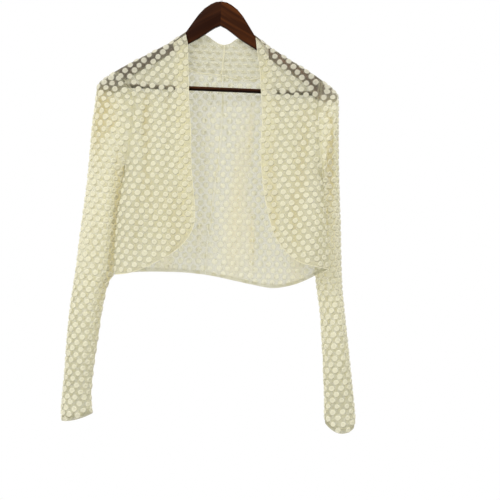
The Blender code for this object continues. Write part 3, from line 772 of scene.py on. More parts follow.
@dataclass
class GridGround:
    """Cloth that spots are sewn to, read by the row and column of its grid."""

    cloth: ClothGrid

    def start(self, wanted: Array) -> Array:
        """The grid point nearest to each wanted place."""
        every = self.cloth.place.reshape(-1, 2)
        nearest = np.concatenate([
            ((every[None] - part[:, None]) ** 2).sum(axis=2).argmin(axis=1)
            for part in np.array_split(wanted, max(1, len(wanted) // 60))
        ])
        return np.stack(np.divmod(nearest.astype(float), self.cloth.place.shape[1]), axis=1)

    def read(self, values: Array, at: Array) -> Array:
        """One array of the grid at these rows and columns."""
        columns = at[..., 1]
        if self.cloth.closed:
            columns = np.mod(columns, self.cloth.points.shape[1] - 1)
        return read_grid(values, at[..., 0], columns)

    def place(self, at: Array) -> Array:
        """The places in the repeat of these rows and columns."""
        return read_grid(self.cloth.place, at[:, 0], at[:, 1])

    def hold(self, at: Array) -> Array:
        """Rows and columns kept on the cloth."""
        rows, columns = self.cloth.place.shape[:2]
        low, high = (-1e9, 1e9) if self.cloth.closed else (0.0, columns - 1.0)
        return np.clip(at, (0.0, low), (rows - 1.0, high))

    def inside(self, at: Array) -> Array:
        """Which rows and columns lie on the cloth."""
        rows, columns = self.cloth.place.shape[:2]
        return (at[:, 0] > 0.4) & (at[:, 0] < rows - 1.4) & (at[:, 1] > 0) & (at[:, 1] < columns - 1)

    def surface(self, at: Array) -> tuple[Array, Array]:
        """Points and normals at these rows and columns."""
        return self.read(self.cloth.points, at), unit(self.read(self.cloth.normals, at))


@dataclass
class BodyGround:
    """Cloth of the body that spots are sewn to, read by x and z.

    Attributes:
        face: The front or the back.
        outline: The panel's outline as (x, z).
        grain: Middle x, level z, and tilt at the top and at the foot.
        sink: How far the net lies under the body's surface.
    """

    face: Face
    outline: Array
    grain: tuple[float, float, tuple[float, float]]
    sink: float

    def start(self, wanted: Array) -> Array:
        """A first guess of (x, z) for each wanted place."""
        middle, level, _ = self.grain
        return np.stack([middle + wanted[:, 0] * 0.95, level - wanted[:, 1] * 0.97], axis=1)

    def place(self, at: Array) -> Array:
        """The places in the repeat of these (x, z)."""
        return FORM.place(self.face, at, *self.grain)

    def depth_inside(self, at: Array) -> tuple[Array, Array]:
        """Signed distance into the outline, and the nearest point of the outline."""
        a, b = self.outline, np.roll(self.outline, -1, axis=0)
        along = b - a
        squares = np.maximum((along**2).sum(axis=1), 1e-9)
        distance, nearest, crossings = np.full(len(at), 1e9), np.zeros_like(at), np.zeros(len(at), int)
        for part in np.array_split(np.arange(len(at)), max(1, len(at) // 2000)):
            point = at[part][:, None]
            share = np.clip(((point - a) * along).sum(axis=2) / squares, 0, 1)
            foot = a + share[..., None] * along
            gap = np.linalg.norm(point - foot, axis=2)
            best = gap.argmin(axis=1)
            rows = np.arange(len(part))
            distance[part], nearest[part] = gap[rows, best], foot[rows, best]
            spans = (a[:, 1] > point[..., 1]) != (b[:, 1] > point[..., 1])
            rise = np.where(np.abs(along[:, 1]) < 1e-9, 1e-9, along[:, 1])
            reach = a[:, 0] + along[:, 0] * (point[..., 1] - a[:, 1]) / rise
            crossings[part] = (spans & (point[..., 0] < reach)).sum(axis=1)
        return np.where(crossings % 2 == 1, distance, -distance), nearest

    def hold(self, at: Array) -> Array:
        """Places kept on the panel, at its edge where they leave it."""
        flat = at.reshape(-1, 2)
        depth, nearest = self.depth_inside(flat)
        return np.where((depth < 0)[:, None], nearest, flat).reshape(at.shape)

    def inside(self, at: Array) -> Array:
        """Which places lie on the panel."""
        return self.depth_inside(at)[0] > 0.8

    def surface(self, at: Array) -> tuple[Array, Array]:
        """Points and normals at these (x, z)."""
        points, normals = FORM.raised(self.face, at)
        return points - normals * self.sink, normals


@dataclass(frozen=True)
class SpotCut:
    """The raised tufted spots and their half-drop repeat, in millimetres.

    Attributes:
        across: Distance between spots of one row.
        down: Distance between spots of one column.
        radius: A spot's radius.
        profile: Share of the radius and height above the net, from the dimple to the base inside.
        dimple: Height in the middle of a spot.
        sides: Points round a spot.
        shake: How far spots stray from the repeat.
        reach: The most that a point lies from its spot's middle, beside the radius.
        uneven: How much their sizes differ.
        lean: How much their tops lean.
        rough: How much their rounds stray.
        bumpy: How much their heights stray.
    """

    across: float = 16.8
    down: float = 21.7
    radius: float = 5.7
    profile: tuple = ((0.30, 1.0), (0.56, 1.5), (0.80, 1.1), (1.0, 0.05), (0.95, -0.46))
    dimple: float = 0.70
    sides: int = 14
    shake: float = 0.35
    reach: float = 1.25
    uneven: float = 0.05
    lean: float = 0.12
    rough: float = 0.035
    bumpy: float = 0.07

    @staticmethod
    def slopes(ground: GridGround | BodyGround, at: Array, what: str) -> tuple[Array, Array]:
        """How places or points change along the ground's two coordinates.

        Args:
            ground: The cloth.
            at: Coordinates on it.
            what: "place" or "surface".

        Returns:
            The change for one step along the first and along the second coordinate.
        """
        found = []
        for axis in range(2):
            step = np.zeros(2)
            step[axis] = 0.25
            if what == "place":
                found.append((ground.place(at + step) - ground.place(at - step)) * 2)
            else:
                found.append((ground.surface(at + step)[0] - ground.surface(at - step)[0]) * 2)
        return found[0], found[1]

    def sites(self, ground: GridGround | BodyGround, low: Array, high: Array) -> Array:
        """Where the repeat's spots lie on the cloth.

        Args:
            ground: The cloth.
            low: The least place in the repeat that it covers.
            high: The greatest.

        Returns:
            The ground's two coordinates for each spot.
        """
        half = np.array([self.across / 2, self.down / 2])
        first, last = np.floor(low / half).astype(int), np.ceil(high / half).astype(int)
        spans = (np.arange(start, stop + 1) for start, stop in zip(first, last))
        i, j = np.meshgrid(*spans, indexing="ij")
        wanted = np.stack([i.ravel(), j.ravel()], axis=1)
        wanted = wanted[(wanted.sum(axis=1) % 2) == 0] * half
        at = ground.start(wanted)
        for _ in range(9):
            miss = wanted - ground.place(at)
            a, b = self.slopes(ground, at, "place")
            area = a[:, 0] * b[:, 1] - a[:, 1] * b[:, 0]
            area = np.where(np.abs(area) < 1e-3, 1e-3, area)
            at = at + np.stack([
                np.clip((miss[:, 0] * b[:, 1] - miss[:, 1] * b[:, 0]) / area, -6, 6),
                np.clip((a[:, 0] * miss[:, 1] - a[:, 1] * miss[:, 0]) / area, -6, 6),
            ], axis=1)
        near = np.linalg.norm(wanted - ground.place(at), axis=1) < 1.5
        return at[near & ground.inside(at)]

    def make(
        self, name: str, ground: GridGround | BodyGround, reach: tuple[Array, Array],
        seed: int, squash: float = 1.0,
    ) -> Thing:
        """Every spot of a stretch of cloth as one mesh.

        Args:
            name: The mesh's name.
            ground: The cloth, whose outer face the spots stand on.
            reach: The least and the greatest place in the repeat.
            seed: The seed of their small differences.
            squash: Their height along the cloth beside their width.

        Returns:
            The object.
        """
        chance = np.random.default_rng(seed)
        at = self.sites(ground, *reach)
        count = len(at)
        first_step, second_step = self.slopes(ground, at, "surface")
        _, normal = ground.surface(at)
        level = unit(np.array([1.0, 0.0, 0.0]) - normal * normal[:, :1])
        upright = np.cross(normal, level)
        turn = np.linspace(0, 2 * math.pi, self.sides, endpoint=False)
        size = self.radius * (1 + self.uneven * chance.standard_normal((count, 1)))
        lean = chance.uniform(-self.lean, self.lean, (count, 2))
        offsets, heights = [np.zeros((count, 1, 2))], [np.full((count, 1), self.dimple)]
        circle = np.stack([np.cos(turn), np.sin(turn) * squash], axis=-1)[None]
        for share, height in self.profile:
            rough = 1 + self.rough * chance.standard_normal((count, self.sides))
            offsets.append(circle * (size * share * rough)[..., None])
            tilt = (circle * lean[:, None]).sum(axis=-1)
            bumps = self.bumpy * chance.standard_normal((count, self.sides))
            heights.append(height * (1 + bumps + tilt))
        offsets.append(np.zeros((count, 1, 2)))
        heights.append(np.full((count, 1), self.profile[-1][1]))
        offset = np.concatenate(offsets, axis=1) + self.shake * chance.standard_normal((count, 1, 2))
        height = np.concatenate(heights, axis=1)
        wanted = offset[..., :1] * level[:, None] + offset[..., 1:] * upright[:, None]
        aa, bb = (first_step**2).sum(axis=1), (second_step**2).sum(axis=1)
        ab = (first_step * second_step).sum(axis=1)
        area = np.maximum(aa * bb - ab**2, 0.04 * aa * bb)[:, None]
        on_a = (wanted * first_step[:, None]).sum(axis=2)
        on_b = (wanted * second_step[:, None]).sum(axis=2)
        aa, bb, ab = aa[:, None], bb[:, None], ab[:, None]
        step = np.stack([(on_a * bb - on_b * ab) / area, (on_b * aa - on_a * ab) / area], axis=-1)
        points, normals = ground.surface(ground.hold(at[:, None] + step))
        middle = points[:, :1]
        away = np.linalg.norm(points - middle, axis=2, keepdims=True)
        held = np.minimum(1.0, self.reach * self.radius / np.maximum(away, 1e-6))
        points = middle + (points - middle) * held
        points = points + normals * height[..., None]
        each = points.shape[1]
        every = (np.array(self.faces())[None] + (np.arange(count) * each)[:, None, None]).reshape(-1, 4)
        every = [face[:3] if face[3] == face[2] else face for face in every.tolist()]
        rims = [[0.0], *([share] * self.sides for share, _ in self.profile), [0.0]]
        shade = np.tile(np.concatenate(rims), count)
        return MeshMaker.make(name, points.reshape(-1, 3), every, shade=shade)

    def faces(self) -> list:
        """The faces of one spot, with a triangle's last corner given twice."""
        n = self.sides
        faces = []
        for k in range(n):
            after = (k + 1) % n
            faces.append([0, 1 + k, 1 + after, 1 + after])
            for ring in range(len(self.profile) - 1):
                a, b = 1 + ring * n, 1 + (ring + 1) * n
                faces.append([a + k, b + k, b + after, a + after])
            last = 1 + (len(self.profile) - 1) * n
            under = 1 + len(self.profile) * n
            faces.append([under, last + after, last + k, last + k])
        return faces


class Nodes:
    """Adds and joins the nodes of one material or world."""

    def __init__(self, tree: bpy.types.NodeTree) -> None:
        """Starts on an empty tree."""
        self.tree = tree
        tree.nodes.clear()

    @classmethod
    def material(cls, name: str) -> tuple[Look, Nodes]:
        """A new material, and its nodes to fill."""
        made = bpy.data.materials.new(name)
        made.use_nodes = True
        return made, cls(made.node_tree)

    def add(self, kind: str, settings: dict | None = None, **inputs: object) -> bpy.types.Node:
        """A new node.

        Args:
            kind: The node's type, without its common start.
            settings: Properties to set on it.
            **inputs: Values or sockets for its inputs, by name with _ for spaces.

        Returns:
            The node.
        """
        node = self.tree.nodes.new("ShaderNode" + kind)
        for key, value in (settings or {}).items():
            setattr(node, key, value)
        for key, value in inputs.items():
            wanted = int(key[1:]) if key[0] == "i" and key[1:].isdigit() else key.replace("_", " ")
            socket = node.inputs[wanted]
            if isinstance(value, Socket):
                self.tree.links.new(value, socket)
            else:
                socket.default_value = value
        return node

    def math(
        self, operation: str, first: object, second: object = 0.0, clamp: bool = False
    ) -> Socket:
        """The result of one sum on two values or sockets."""
        settings = {"operation": operation, "use_clamp": clamp}
        return self.add("Math", settings, i0=first, i1=second).outputs[0]

    def range(self, value: object, low: float, high: float, start: float, end: float) -> Socket:
        """A value moved from one range to another, held at its ends."""
        inputs = {"Value": value, "From_Min": low, "From_Max": high, "To_Min": start, "To_Max": end}
        return self.add("MapRange", {"clamp": True}, **inputs).outputs[0]

    def blend(self, share: object, first: object, second: object) -> Socket:
        """Two colours mixed by a share."""
        settings = {"data_type": "RGBA"}
        return self.add("Mix", settings, i0=share, i6=first, i7=second).outputs[2]

    def where(self, kind: str = "Object") -> Socket:
        """One output of the texture coordinates."""
        return self.add("TexCoord").outputs[kind]

    def split(self, vector: object) -> bpy.types.bpy_prop_collection:
        """A vector's parts along X, Y and Z."""
        return self.add("SeparateXYZ", Vector=vector).outputs

    def shade(self) -> Socket:
        """The number that each vertex holds under the name shade."""
        return self.add("Attribute", {"attribute_name": "shade"}).outputs["Fac"]

    def noise(self, vector: object, scale: float, detail: float = 3.0) -> Socket:
        """Soft noise read at a vector."""
        return self.add("TexNoise", Vector=vector, Scale=scale, Detail=detail).outputs[0]

    def output(self, surface: Socket, kind: str = "OutputMaterial") -> None:
        """Ends the tree at its output."""
        self.add(kind, Surface=surface)


@dataclass(frozen=True)
class ClothLight:
    """How cloth takes light: what it throws back, what it lets through, and how rough it is.

    Attributes:
        through: The share of its surface that passes light on.
        roughness: Its roughness.
        sheen: Its soft bloom at grazing angles.
        specular: How strongly it shines.
    """

    through: float
    roughness: float
    sheen: float
    specular: float = 0.12

    def make(
        self, nodes: Nodes, colour: object, glow: object, cover: object, normal: object | None = None
    ) -> Socket:
        """The surface of one face of a closed shell, whose inside is left clear.

        Args:
            nodes: The material's nodes.
            colour: The colour of light thrown back.
            glow: The colour of light let through.
            cover: How much of the view it hides.
            normal: Its bump, if it has one.

        Returns:
            The shader.
        """
        front = nodes.add("BsdfPrincipled", Base_Color=colour, Roughness=self.roughness)
        front.inputs["Specular IOR Level"].default_value = self.specular
        front.inputs["Sheen Weight"].default_value = self.sheen
        if normal is not None:
            nodes.tree.links.new(normal, front.inputs["Normal"])
        back = nodes.add("BsdfTranslucent", Color=glow)
        cloth = nodes.add("MixShader", i0=self.through, i1=front.outputs[0], i2=back.outputs[0])
        inside = nodes.add("NewGeometry").outputs["Backfacing"]
        seen = nodes.math("MULTIPLY", nodes.math("SUBTRACT", 1.0, inside), cover)
        clear = nodes.add("BsdfTransparent")
        return nodes.add("MixShader", i0=seen, i1=clear.outputs[0], i2=cloth.outputs[0]).outputs[0]


@dataclass(frozen=True)
class NetFinish:
    """Sheer ivory net: a fine even mesh of threads that light comes through.

    Attributes:
        thread: The colour of light that the threads throw back.
        warm: The same in its warmer patches.
        deep: The same at the bottom of a trough, as painted shade.
        glow: The colour of light that comes through them.
        trough_shade_glow: The same at the bottom of a trough, as painted shade.
        low: The colour thrown back towards the bottom, where the net is darker.
        low_glow: The light let through there.
        cell: The size of one mesh opening, in metres.
        thread_edges: Where a thread ends and where an opening starts, as shares of the cell.
        patch_scale: How close its warmer patches lie.
        solid: How much of the view a thread hides.
        open: How much an opening hides.
        trough_cover: How much more it hides in a trough, as painted shade, and less where the shade is
            under 0.
        low_cover: How much more it hides towards the bottom.
        low_from: The height under which the net is at its darkest and densest, in metres.
        low_until: The height over which it is as at the top, in metres.
    """

    name: str = "Ivory net"
    thread: Colour = (0.54, 0.52, 0.415, 1.0)
    warm: Colour = (0.54, 0.51, 0.38, 1.0)
    deep: Colour = (0.43, 0.375, 0.225, 1.0)
    glow: Colour = (1.0, 0.97, 0.70, 1.0)
    trough_shade_glow: Colour = (0.88, 0.79, 0.45, 1.0)
    low: Colour = (0.33, 0.32, 0.255, 1.0)
    low_glow: Colour = (0.80, 0.775, 0.57, 1.0)
    cell: float = 0.0016
    thread_edges: tuple[float, float] = (0.18, 0.30)
    patch_scale: float = 22.0
    solid: float = 0.76
    open: float = 0.07
    trough_cover: float = 0.20
    low_cover: float = 0.10
    low_from: float = -0.80
    low_until: float = -0.46
    light: ClothLight = ClothLight(through=0.60, roughness=0.85, sheen=0.1)

    def make(self) -> Look:
        """Builds the material."""
        made, nodes = Nodes.material(self.name)
        uv = nodes.add("UVMap", {"uv_map": "cloth"}).outputs[0]
        mesh = nodes.add(
            "TexVoronoi", {"voronoi_dimensions": "2D", "feature": "DISTANCE_TO_EDGE"},
            Vector=uv, Scale=1 / self.cell, Randomness=0.4,
        ).outputs["Distance"]
        # Painted shade: by the shade attribute, troughs hide more and take the darker, warmer deep colour
        # and glow.
        shade = nodes.shade()
        cover = nodes.range(mesh, *self.thread_edges, self.solid, self.open)
        cover = nodes.math("ADD", cover, nodes.math("MULTIPLY", shade, self.trough_cover), clamp=True)
        patches = nodes.noise(uv, self.patch_scale, 2.0)
        colour = nodes.blend(nodes.range(patches, 0.4, 0.7, 0.0, 1.0), self.thread, self.warm)
        colour = nodes.blend(shade, colour, self.deep)
        glow = nodes.blend(shade, self.glow, self.trough_shade_glow)
        # Towards the bottom the net turns darker and hides more, from low_until down to low_from.
        lower_share = nodes.range(nodes.split(nodes.where())["Z"], self.low_from, self.low_until, 1.0, 0.0)
        colour = nodes.blend(lower_share, colour, self.low)
        glow = nodes.blend(lower_share, glow, self.low_glow)
        cover = nodes.math("ADD", cover, nodes.math("MULTIPLY", lower_share, self.low_cover), clamp=True)
        nodes.output(self.light.make(nodes, colour, glow, cover))
        return made


@dataclass(frozen=True)
class SpotFinish:
    """Soft tufted yarn of the raised spots.

    Attributes:
        pale: The colour of light thrown back from the tips of the tufts.
        shade: The same between them, and in the dimple as painted shade.
        glow: The colour of light that comes through.
        under: The painted shadow colour of the lower right side, for light of both kinds.
        shadow_side_share: How much of that painted shadow the side takes.
        full_cover: How much of the view a spot hides.
        rim_cover: How much its rim hides.
        rim_from: Where the rim starts, as a share of the radius.
        fray: How far that strays.
        fray_scale: How fine the fray is.
        tuft_scale: How fine the tufts are.
        fibre_scale: How fine the fibres on them are.
    """

    name: str = "Tufted yarn"
    pale: Colour = (0.87, 0.845, 0.705, 1.0)
    shade: Colour = (0.75, 0.72, 0.57, 1.0)
    glow: Colour = (0.89, 0.87, 0.71, 1.0)
    under: Colour = (0.42, 0.39, 0.28, 1.0)
    shadow_side_share: float = 0.75
    full_cover: float = 0.95
    rim_cover: float = 0.4
    rim_from: float = 0.76
    fray: float = 0.08
    fray_scale: float = 1300.0
    tuft_scale: float = 900.0
    fibre_scale: float = 2200.0
    light: ClothLight = ClothLight(through=0.46, roughness=0.95, sheen=0.2)

    def make(self) -> Look:
        """Builds the material."""
        made, nodes = Nodes.material(self.name)
        here = nodes.where()
        tuft = nodes.noise(here, self.tuft_scale, 4.0)
        colour = nodes.blend(nodes.range(tuft, 0.35, 0.65, 0.0, 1.0), self.shade, self.pale)
        fibres = nodes.noise(here, self.fibre_scale, 2.0)
        bump = nodes.add("Bump", Strength=0.5, Distance=0.0004, Height=fibres)
        rim = nodes.shade()
        fray = nodes.range(nodes.noise(here, self.fray_scale, 2.0), 0.3, 0.7, -self.fray, self.fray)
        frayed = nodes.math("ADD", rim, fray)
        cover = nodes.range(frayed, self.rim_from, 1.0, self.full_cover, self.rim_cover)
        # Painted shade: the dimple in the middle of each spot is blended towards the shade colour.
        colour = nodes.blend(nodes.range(rim, 0.0, 0.55, 0.9, 0.0), colour, self.shade)
        # Painted shadow: faces turned down and to the right blend towards the under colour, for both light
        # and glow.
        side = nodes.split(nodes.where("Normal"))
        below = nodes.math("SUBTRACT", nodes.math("MULTIPLY", side["X"], 0.5), side["Z"])
        below = nodes.range(below, 0.15, 0.80, 0.0, self.shadow_side_share)
        colour = nodes.blend(below, colour, self.under)
        glow = nodes.blend(below, self.glow, self.under)
        nodes.output(self.light.make(nodes, colour, glow, cover, bump.outputs[0]))
        return made


@dataclass(frozen=True)
class ThreadFinish:
    """Sewing thread and bound seam edges, a little glossier than the net."""

    name: str = "Sewing thread"
    colour: Colour = (0.78, 0.75, 0.57, 1.0)
    dark: Colour = (0.66, 0.62, 0.43, 1.0)
    ply_scale: float = 1400.0

    def make(self) -> Look:
        """Builds the material."""
        made, nodes = Nodes.material(self.name)
        here = nodes.where()
        ply = nodes.noise(here, self.ply_scale, 2.0)
        colour = nodes.blend(nodes.range(ply, 0.35, 0.65, 0.0, 1.0), self.dark, self.colour)
        bump = nodes.add("Bump", Strength=0.3, Distance=0.0002, Height=ply)
        front = nodes.add("BsdfPrincipled", Base_Color=colour, Roughness=0.6, Normal=bump.outputs[0])
        nodes.output(front.outputs[0])
        return made


@dataclass(frozen=True)
class WoodFinish:
    """Dark mahogany stain under satin varnish, with the grain along each arm.

    Attributes:
        under: The painted shade colour of what is turned away from the light.
        arm_slope: The angle at which the arms fall, in radians.
        arm_shift: How far the grain of the right arm is moved along.
        grain_scales: How fine the grain is along, through and across the arm.
        painted_edge_shade: How dark the painted shade makes the arms' edges.
        straight: True for the crossbar, whose grain is level.
    """

    name: str = "Stained mahogany"
    dark: Colour = (0.017, 0.0040, 0.0010, 1.0)
    brown: Colour = (0.042, 0.0120, 0.0034, 1.0)
    dark_red: Colour = (0.030, 0.0080, 0.0020, 1.0)
    red: Colour = (0.096, 0.0270, 0.0058, 1.0)
    under: Colour = (0.006, 0.0016, 0.0006, 1.0)
    arm_slope: float = 0.52
    arm_shift: float = 1.7
    grain_scales: tuple[float, float, float] = (5.0, 60.0, 110.0)
    painted_edge_shade: float = 0.7
    straight: bool = False

    def make(self) -> Look:
        """Builds the material."""
        made, nodes = Nodes.material(self.name)
        here = nodes.where()
        split = nodes.split(here)
        slope = 0.0 if self.straight else self.arm_slope
        run_x = split[0] if self.straight else nodes.math("ABSOLUTE", split[0])
        along = nodes.math(
            "SUBTRACT", nodes.math("MULTIPLY", run_x, math.cos(slope)),
            nodes.math("MULTIPLY", split[2], math.sin(slope)),
        )
        across = nodes.math(
            "ADD", nodes.math("MULTIPLY", run_x, math.sin(slope)),
            nodes.math("MULTIPLY", split[2], math.cos(slope)),
        )
        right = 0.35 if self.straight else nodes.math("GREATER_THAN", split[0], 0.0)
        shift = nodes.math("MULTIPLY", right, self.arm_shift)
        shifted = nodes.math("ADD", nodes.math("MULTIPLY", along, self.grain_scales[0]), shift)
        grain_at = nodes.add(
            "CombineXYZ", X=shifted, Y=nodes.math("MULTIPLY", split[1], self.grain_scales[1]),
            Z=nodes.math("MULTIPLY", across, self.grain_scales[2]),
        ).outputs[0]
        grain = nodes.noise(grain_at, 1.0, 5.0)
        pores = nodes.noise(grain_at, 7.0, 3.0)
        low = nodes.blend(right, self.dark, self.dark_red)
        high = nodes.blend(right, self.brown, self.red)
        colour = nodes.blend(nodes.range(grain, 0.38, 0.66, 0.0, 1.0), low, high)
        # Painted shade: by their normals, the arms' edges and the crossbar's underside blend towards the
        # under colour.
        facing = nodes.split(nodes.where("Normal"))
        if self.straight:
            painted_shade_share = nodes.range(facing[2], -0.35, 0.35, 1.0, 0.0)
        else:
            painted_shade_share = nodes.range(nodes.math("ABSOLUTE", facing[1]), 0.45, 0.97, self.painted_edge_shade, 0.0)
        colour = nodes.blend(painted_shade_share, colour, self.under)
        rough = nodes.range(pores, 0.3, 0.7, 0.26, 0.44)
        bump = nodes.add("Bump", Strength=0.25, Distance=0.0003, Height=pores)
        wood = nodes.add("BsdfPrincipled", Base_Color=colour, Roughness=rough, Normal=bump.outputs[0])
        wood.inputs["Specular IOR Level"].default_value = 0.05
        nodes.output(wood.outputs[0])
        return made


@dataclass(frozen=True)
class SteelFinish:
    """Bright drawn wire."""

    name: str = "Bright steel wire"
    colour: Colour = (0.60, 0.60, 0.61, 1.0)
    mark_scale: float = 420.0

    def make(self) -> Look:
        """Builds the material."""
        made, nodes = Nodes.material(self.name)
        here = nodes.where()
        marks = nodes.noise(here, self.mark_scale, 4.0)
        rough = nodes.range(marks, 0.3, 0.7, 0.16, 0.34)
        wire = nodes.add("BsdfPrincipled", Base_Color=self.colour, Roughness=rough)
        wire.inputs["Metallic"].default_value = 1.0
        nodes.output(wire.outputs[0])
        return made


@dataclass(frozen=True)
class PlainFinish:
    """A plain matte surface for the floor."""

    name: str = "Pale floor"
    colour: Colour = (0.86, 0.86, 0.85, 1.0)

    def make(self) -> Look:
        """Builds the material."""
        made, nodes = Nodes.material(self.name)
        shader = nodes.add("BsdfPrincipled", Base_Color=self.colour, Roughness=0.9)
        nodes.output(shader.outputs[0])
        return made


Finish = NetFinish | SpotFinish | ThreadFinish | WoodFinish | SteelFinish | PlainFinish


def made_by(finish: Finish) -> Look:
    """A field of a dataclass that holds the material of a finish."""
    return field(default_factory=finish.make)


@dataclass
class Workshop:
    """The finishes of the whole object, made once.

    Attributes:
        net: The fronts, the sleeves and the faintest seam allowances.
        shaded_back_net: The back and the neck band, seen from inside, in a darker copy of the net as
            painted shade.
        turned: The fronts' hems and facings.
        lined: The band's lining, and the other hems and allowances.
        flat_yarn: The spots of the band's inner layer.
        thread: Stitches, rolled edges and ridges.
    """

    net: Look = made_by(NetFinish())
    # Painted shade: a darker copy of the net for the back, which is seen from inside.
    shaded_back_net: Look = made_by(NetFinish(
        name="Ivory net of the back", thread=(0.34, 0.33, 0.26, 1.0), warm=(0.34, 0.325, 0.24, 1.0),
        glow=(0.63, 0.61, 0.41, 1.0), solid=0.88, open=0.20,
        light=ClothLight(through=0.56, roughness=0.85, sheen=0.1),
    ))
    turned: Look = made_by(NetFinish(
        name="Ivory net turned double", thread=(0.93, 0.91, 0.82, 1.0), warm=(0.93, 0.90, 0.79, 1.0),
        glow=(0.95, 0.93, 0.85, 1.0), solid=0.92, open=0.30,
        light=ClothLight(through=0.50, roughness=0.85, sheen=0.1),
    ))
    lined: Look = made_by(NetFinish(
        name="Ivory net of the band's lining", thread=(0.58, 0.565, 0.46, 1.0),
        warm=(0.58, 0.55, 0.42, 1.0), glow=(0.84, 0.82, 0.62, 1.0), solid=0.86, open=0.20,
        light=ClothLight(through=0.50, roughness=0.85, sheen=0.1),
    ))
    yarn: Look = made_by(SpotFinish())
    flat_yarn: Look = made_by(SpotFinish(
        name="Tufted yarn from inside", shadow_side_share=0.25, full_cover=0.75, rim_cover=0.2
    ))
    back_yarn: Look = made_by(SpotFinish(
        name="Tufted yarn of the back", pale=(0.84, 0.82, 0.69, 1.0), shade=(0.77, 0.75, 0.61, 1.0),
        glow=(0.84, 0.82, 0.67, 1.0), shadow_side_share=0.1,
    ))
    thread: Look = made_by(ThreadFinish())
    wood: Look = made_by(WoodFinish())
    bar_wood: Look = made_by(WoodFinish(name="Stained crossbar", straight=True))
    steel: Look = made_by(SteelFinish())

    def finish(
        self, piece: Thing, look: Look, slot: str, nodes: tuple[str, ...] = ()
    ) -> Thing:
        """Dresses a piece and ties it to the frame.

        Args:
            piece: The piece.
            look: Its material.
            slot: A record's slot; not used.
            nodes: The solids that it stands for.

        Returns:
            The same piece.
        """
        piece.data.materials.clear()
        piece.data.materials.append(look)
        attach(piece, BODY)
        if nodes:
            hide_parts(*nodes)
        LOG.info("%s: %d faces", piece.name, len(piece.data.polygons))
        return piece


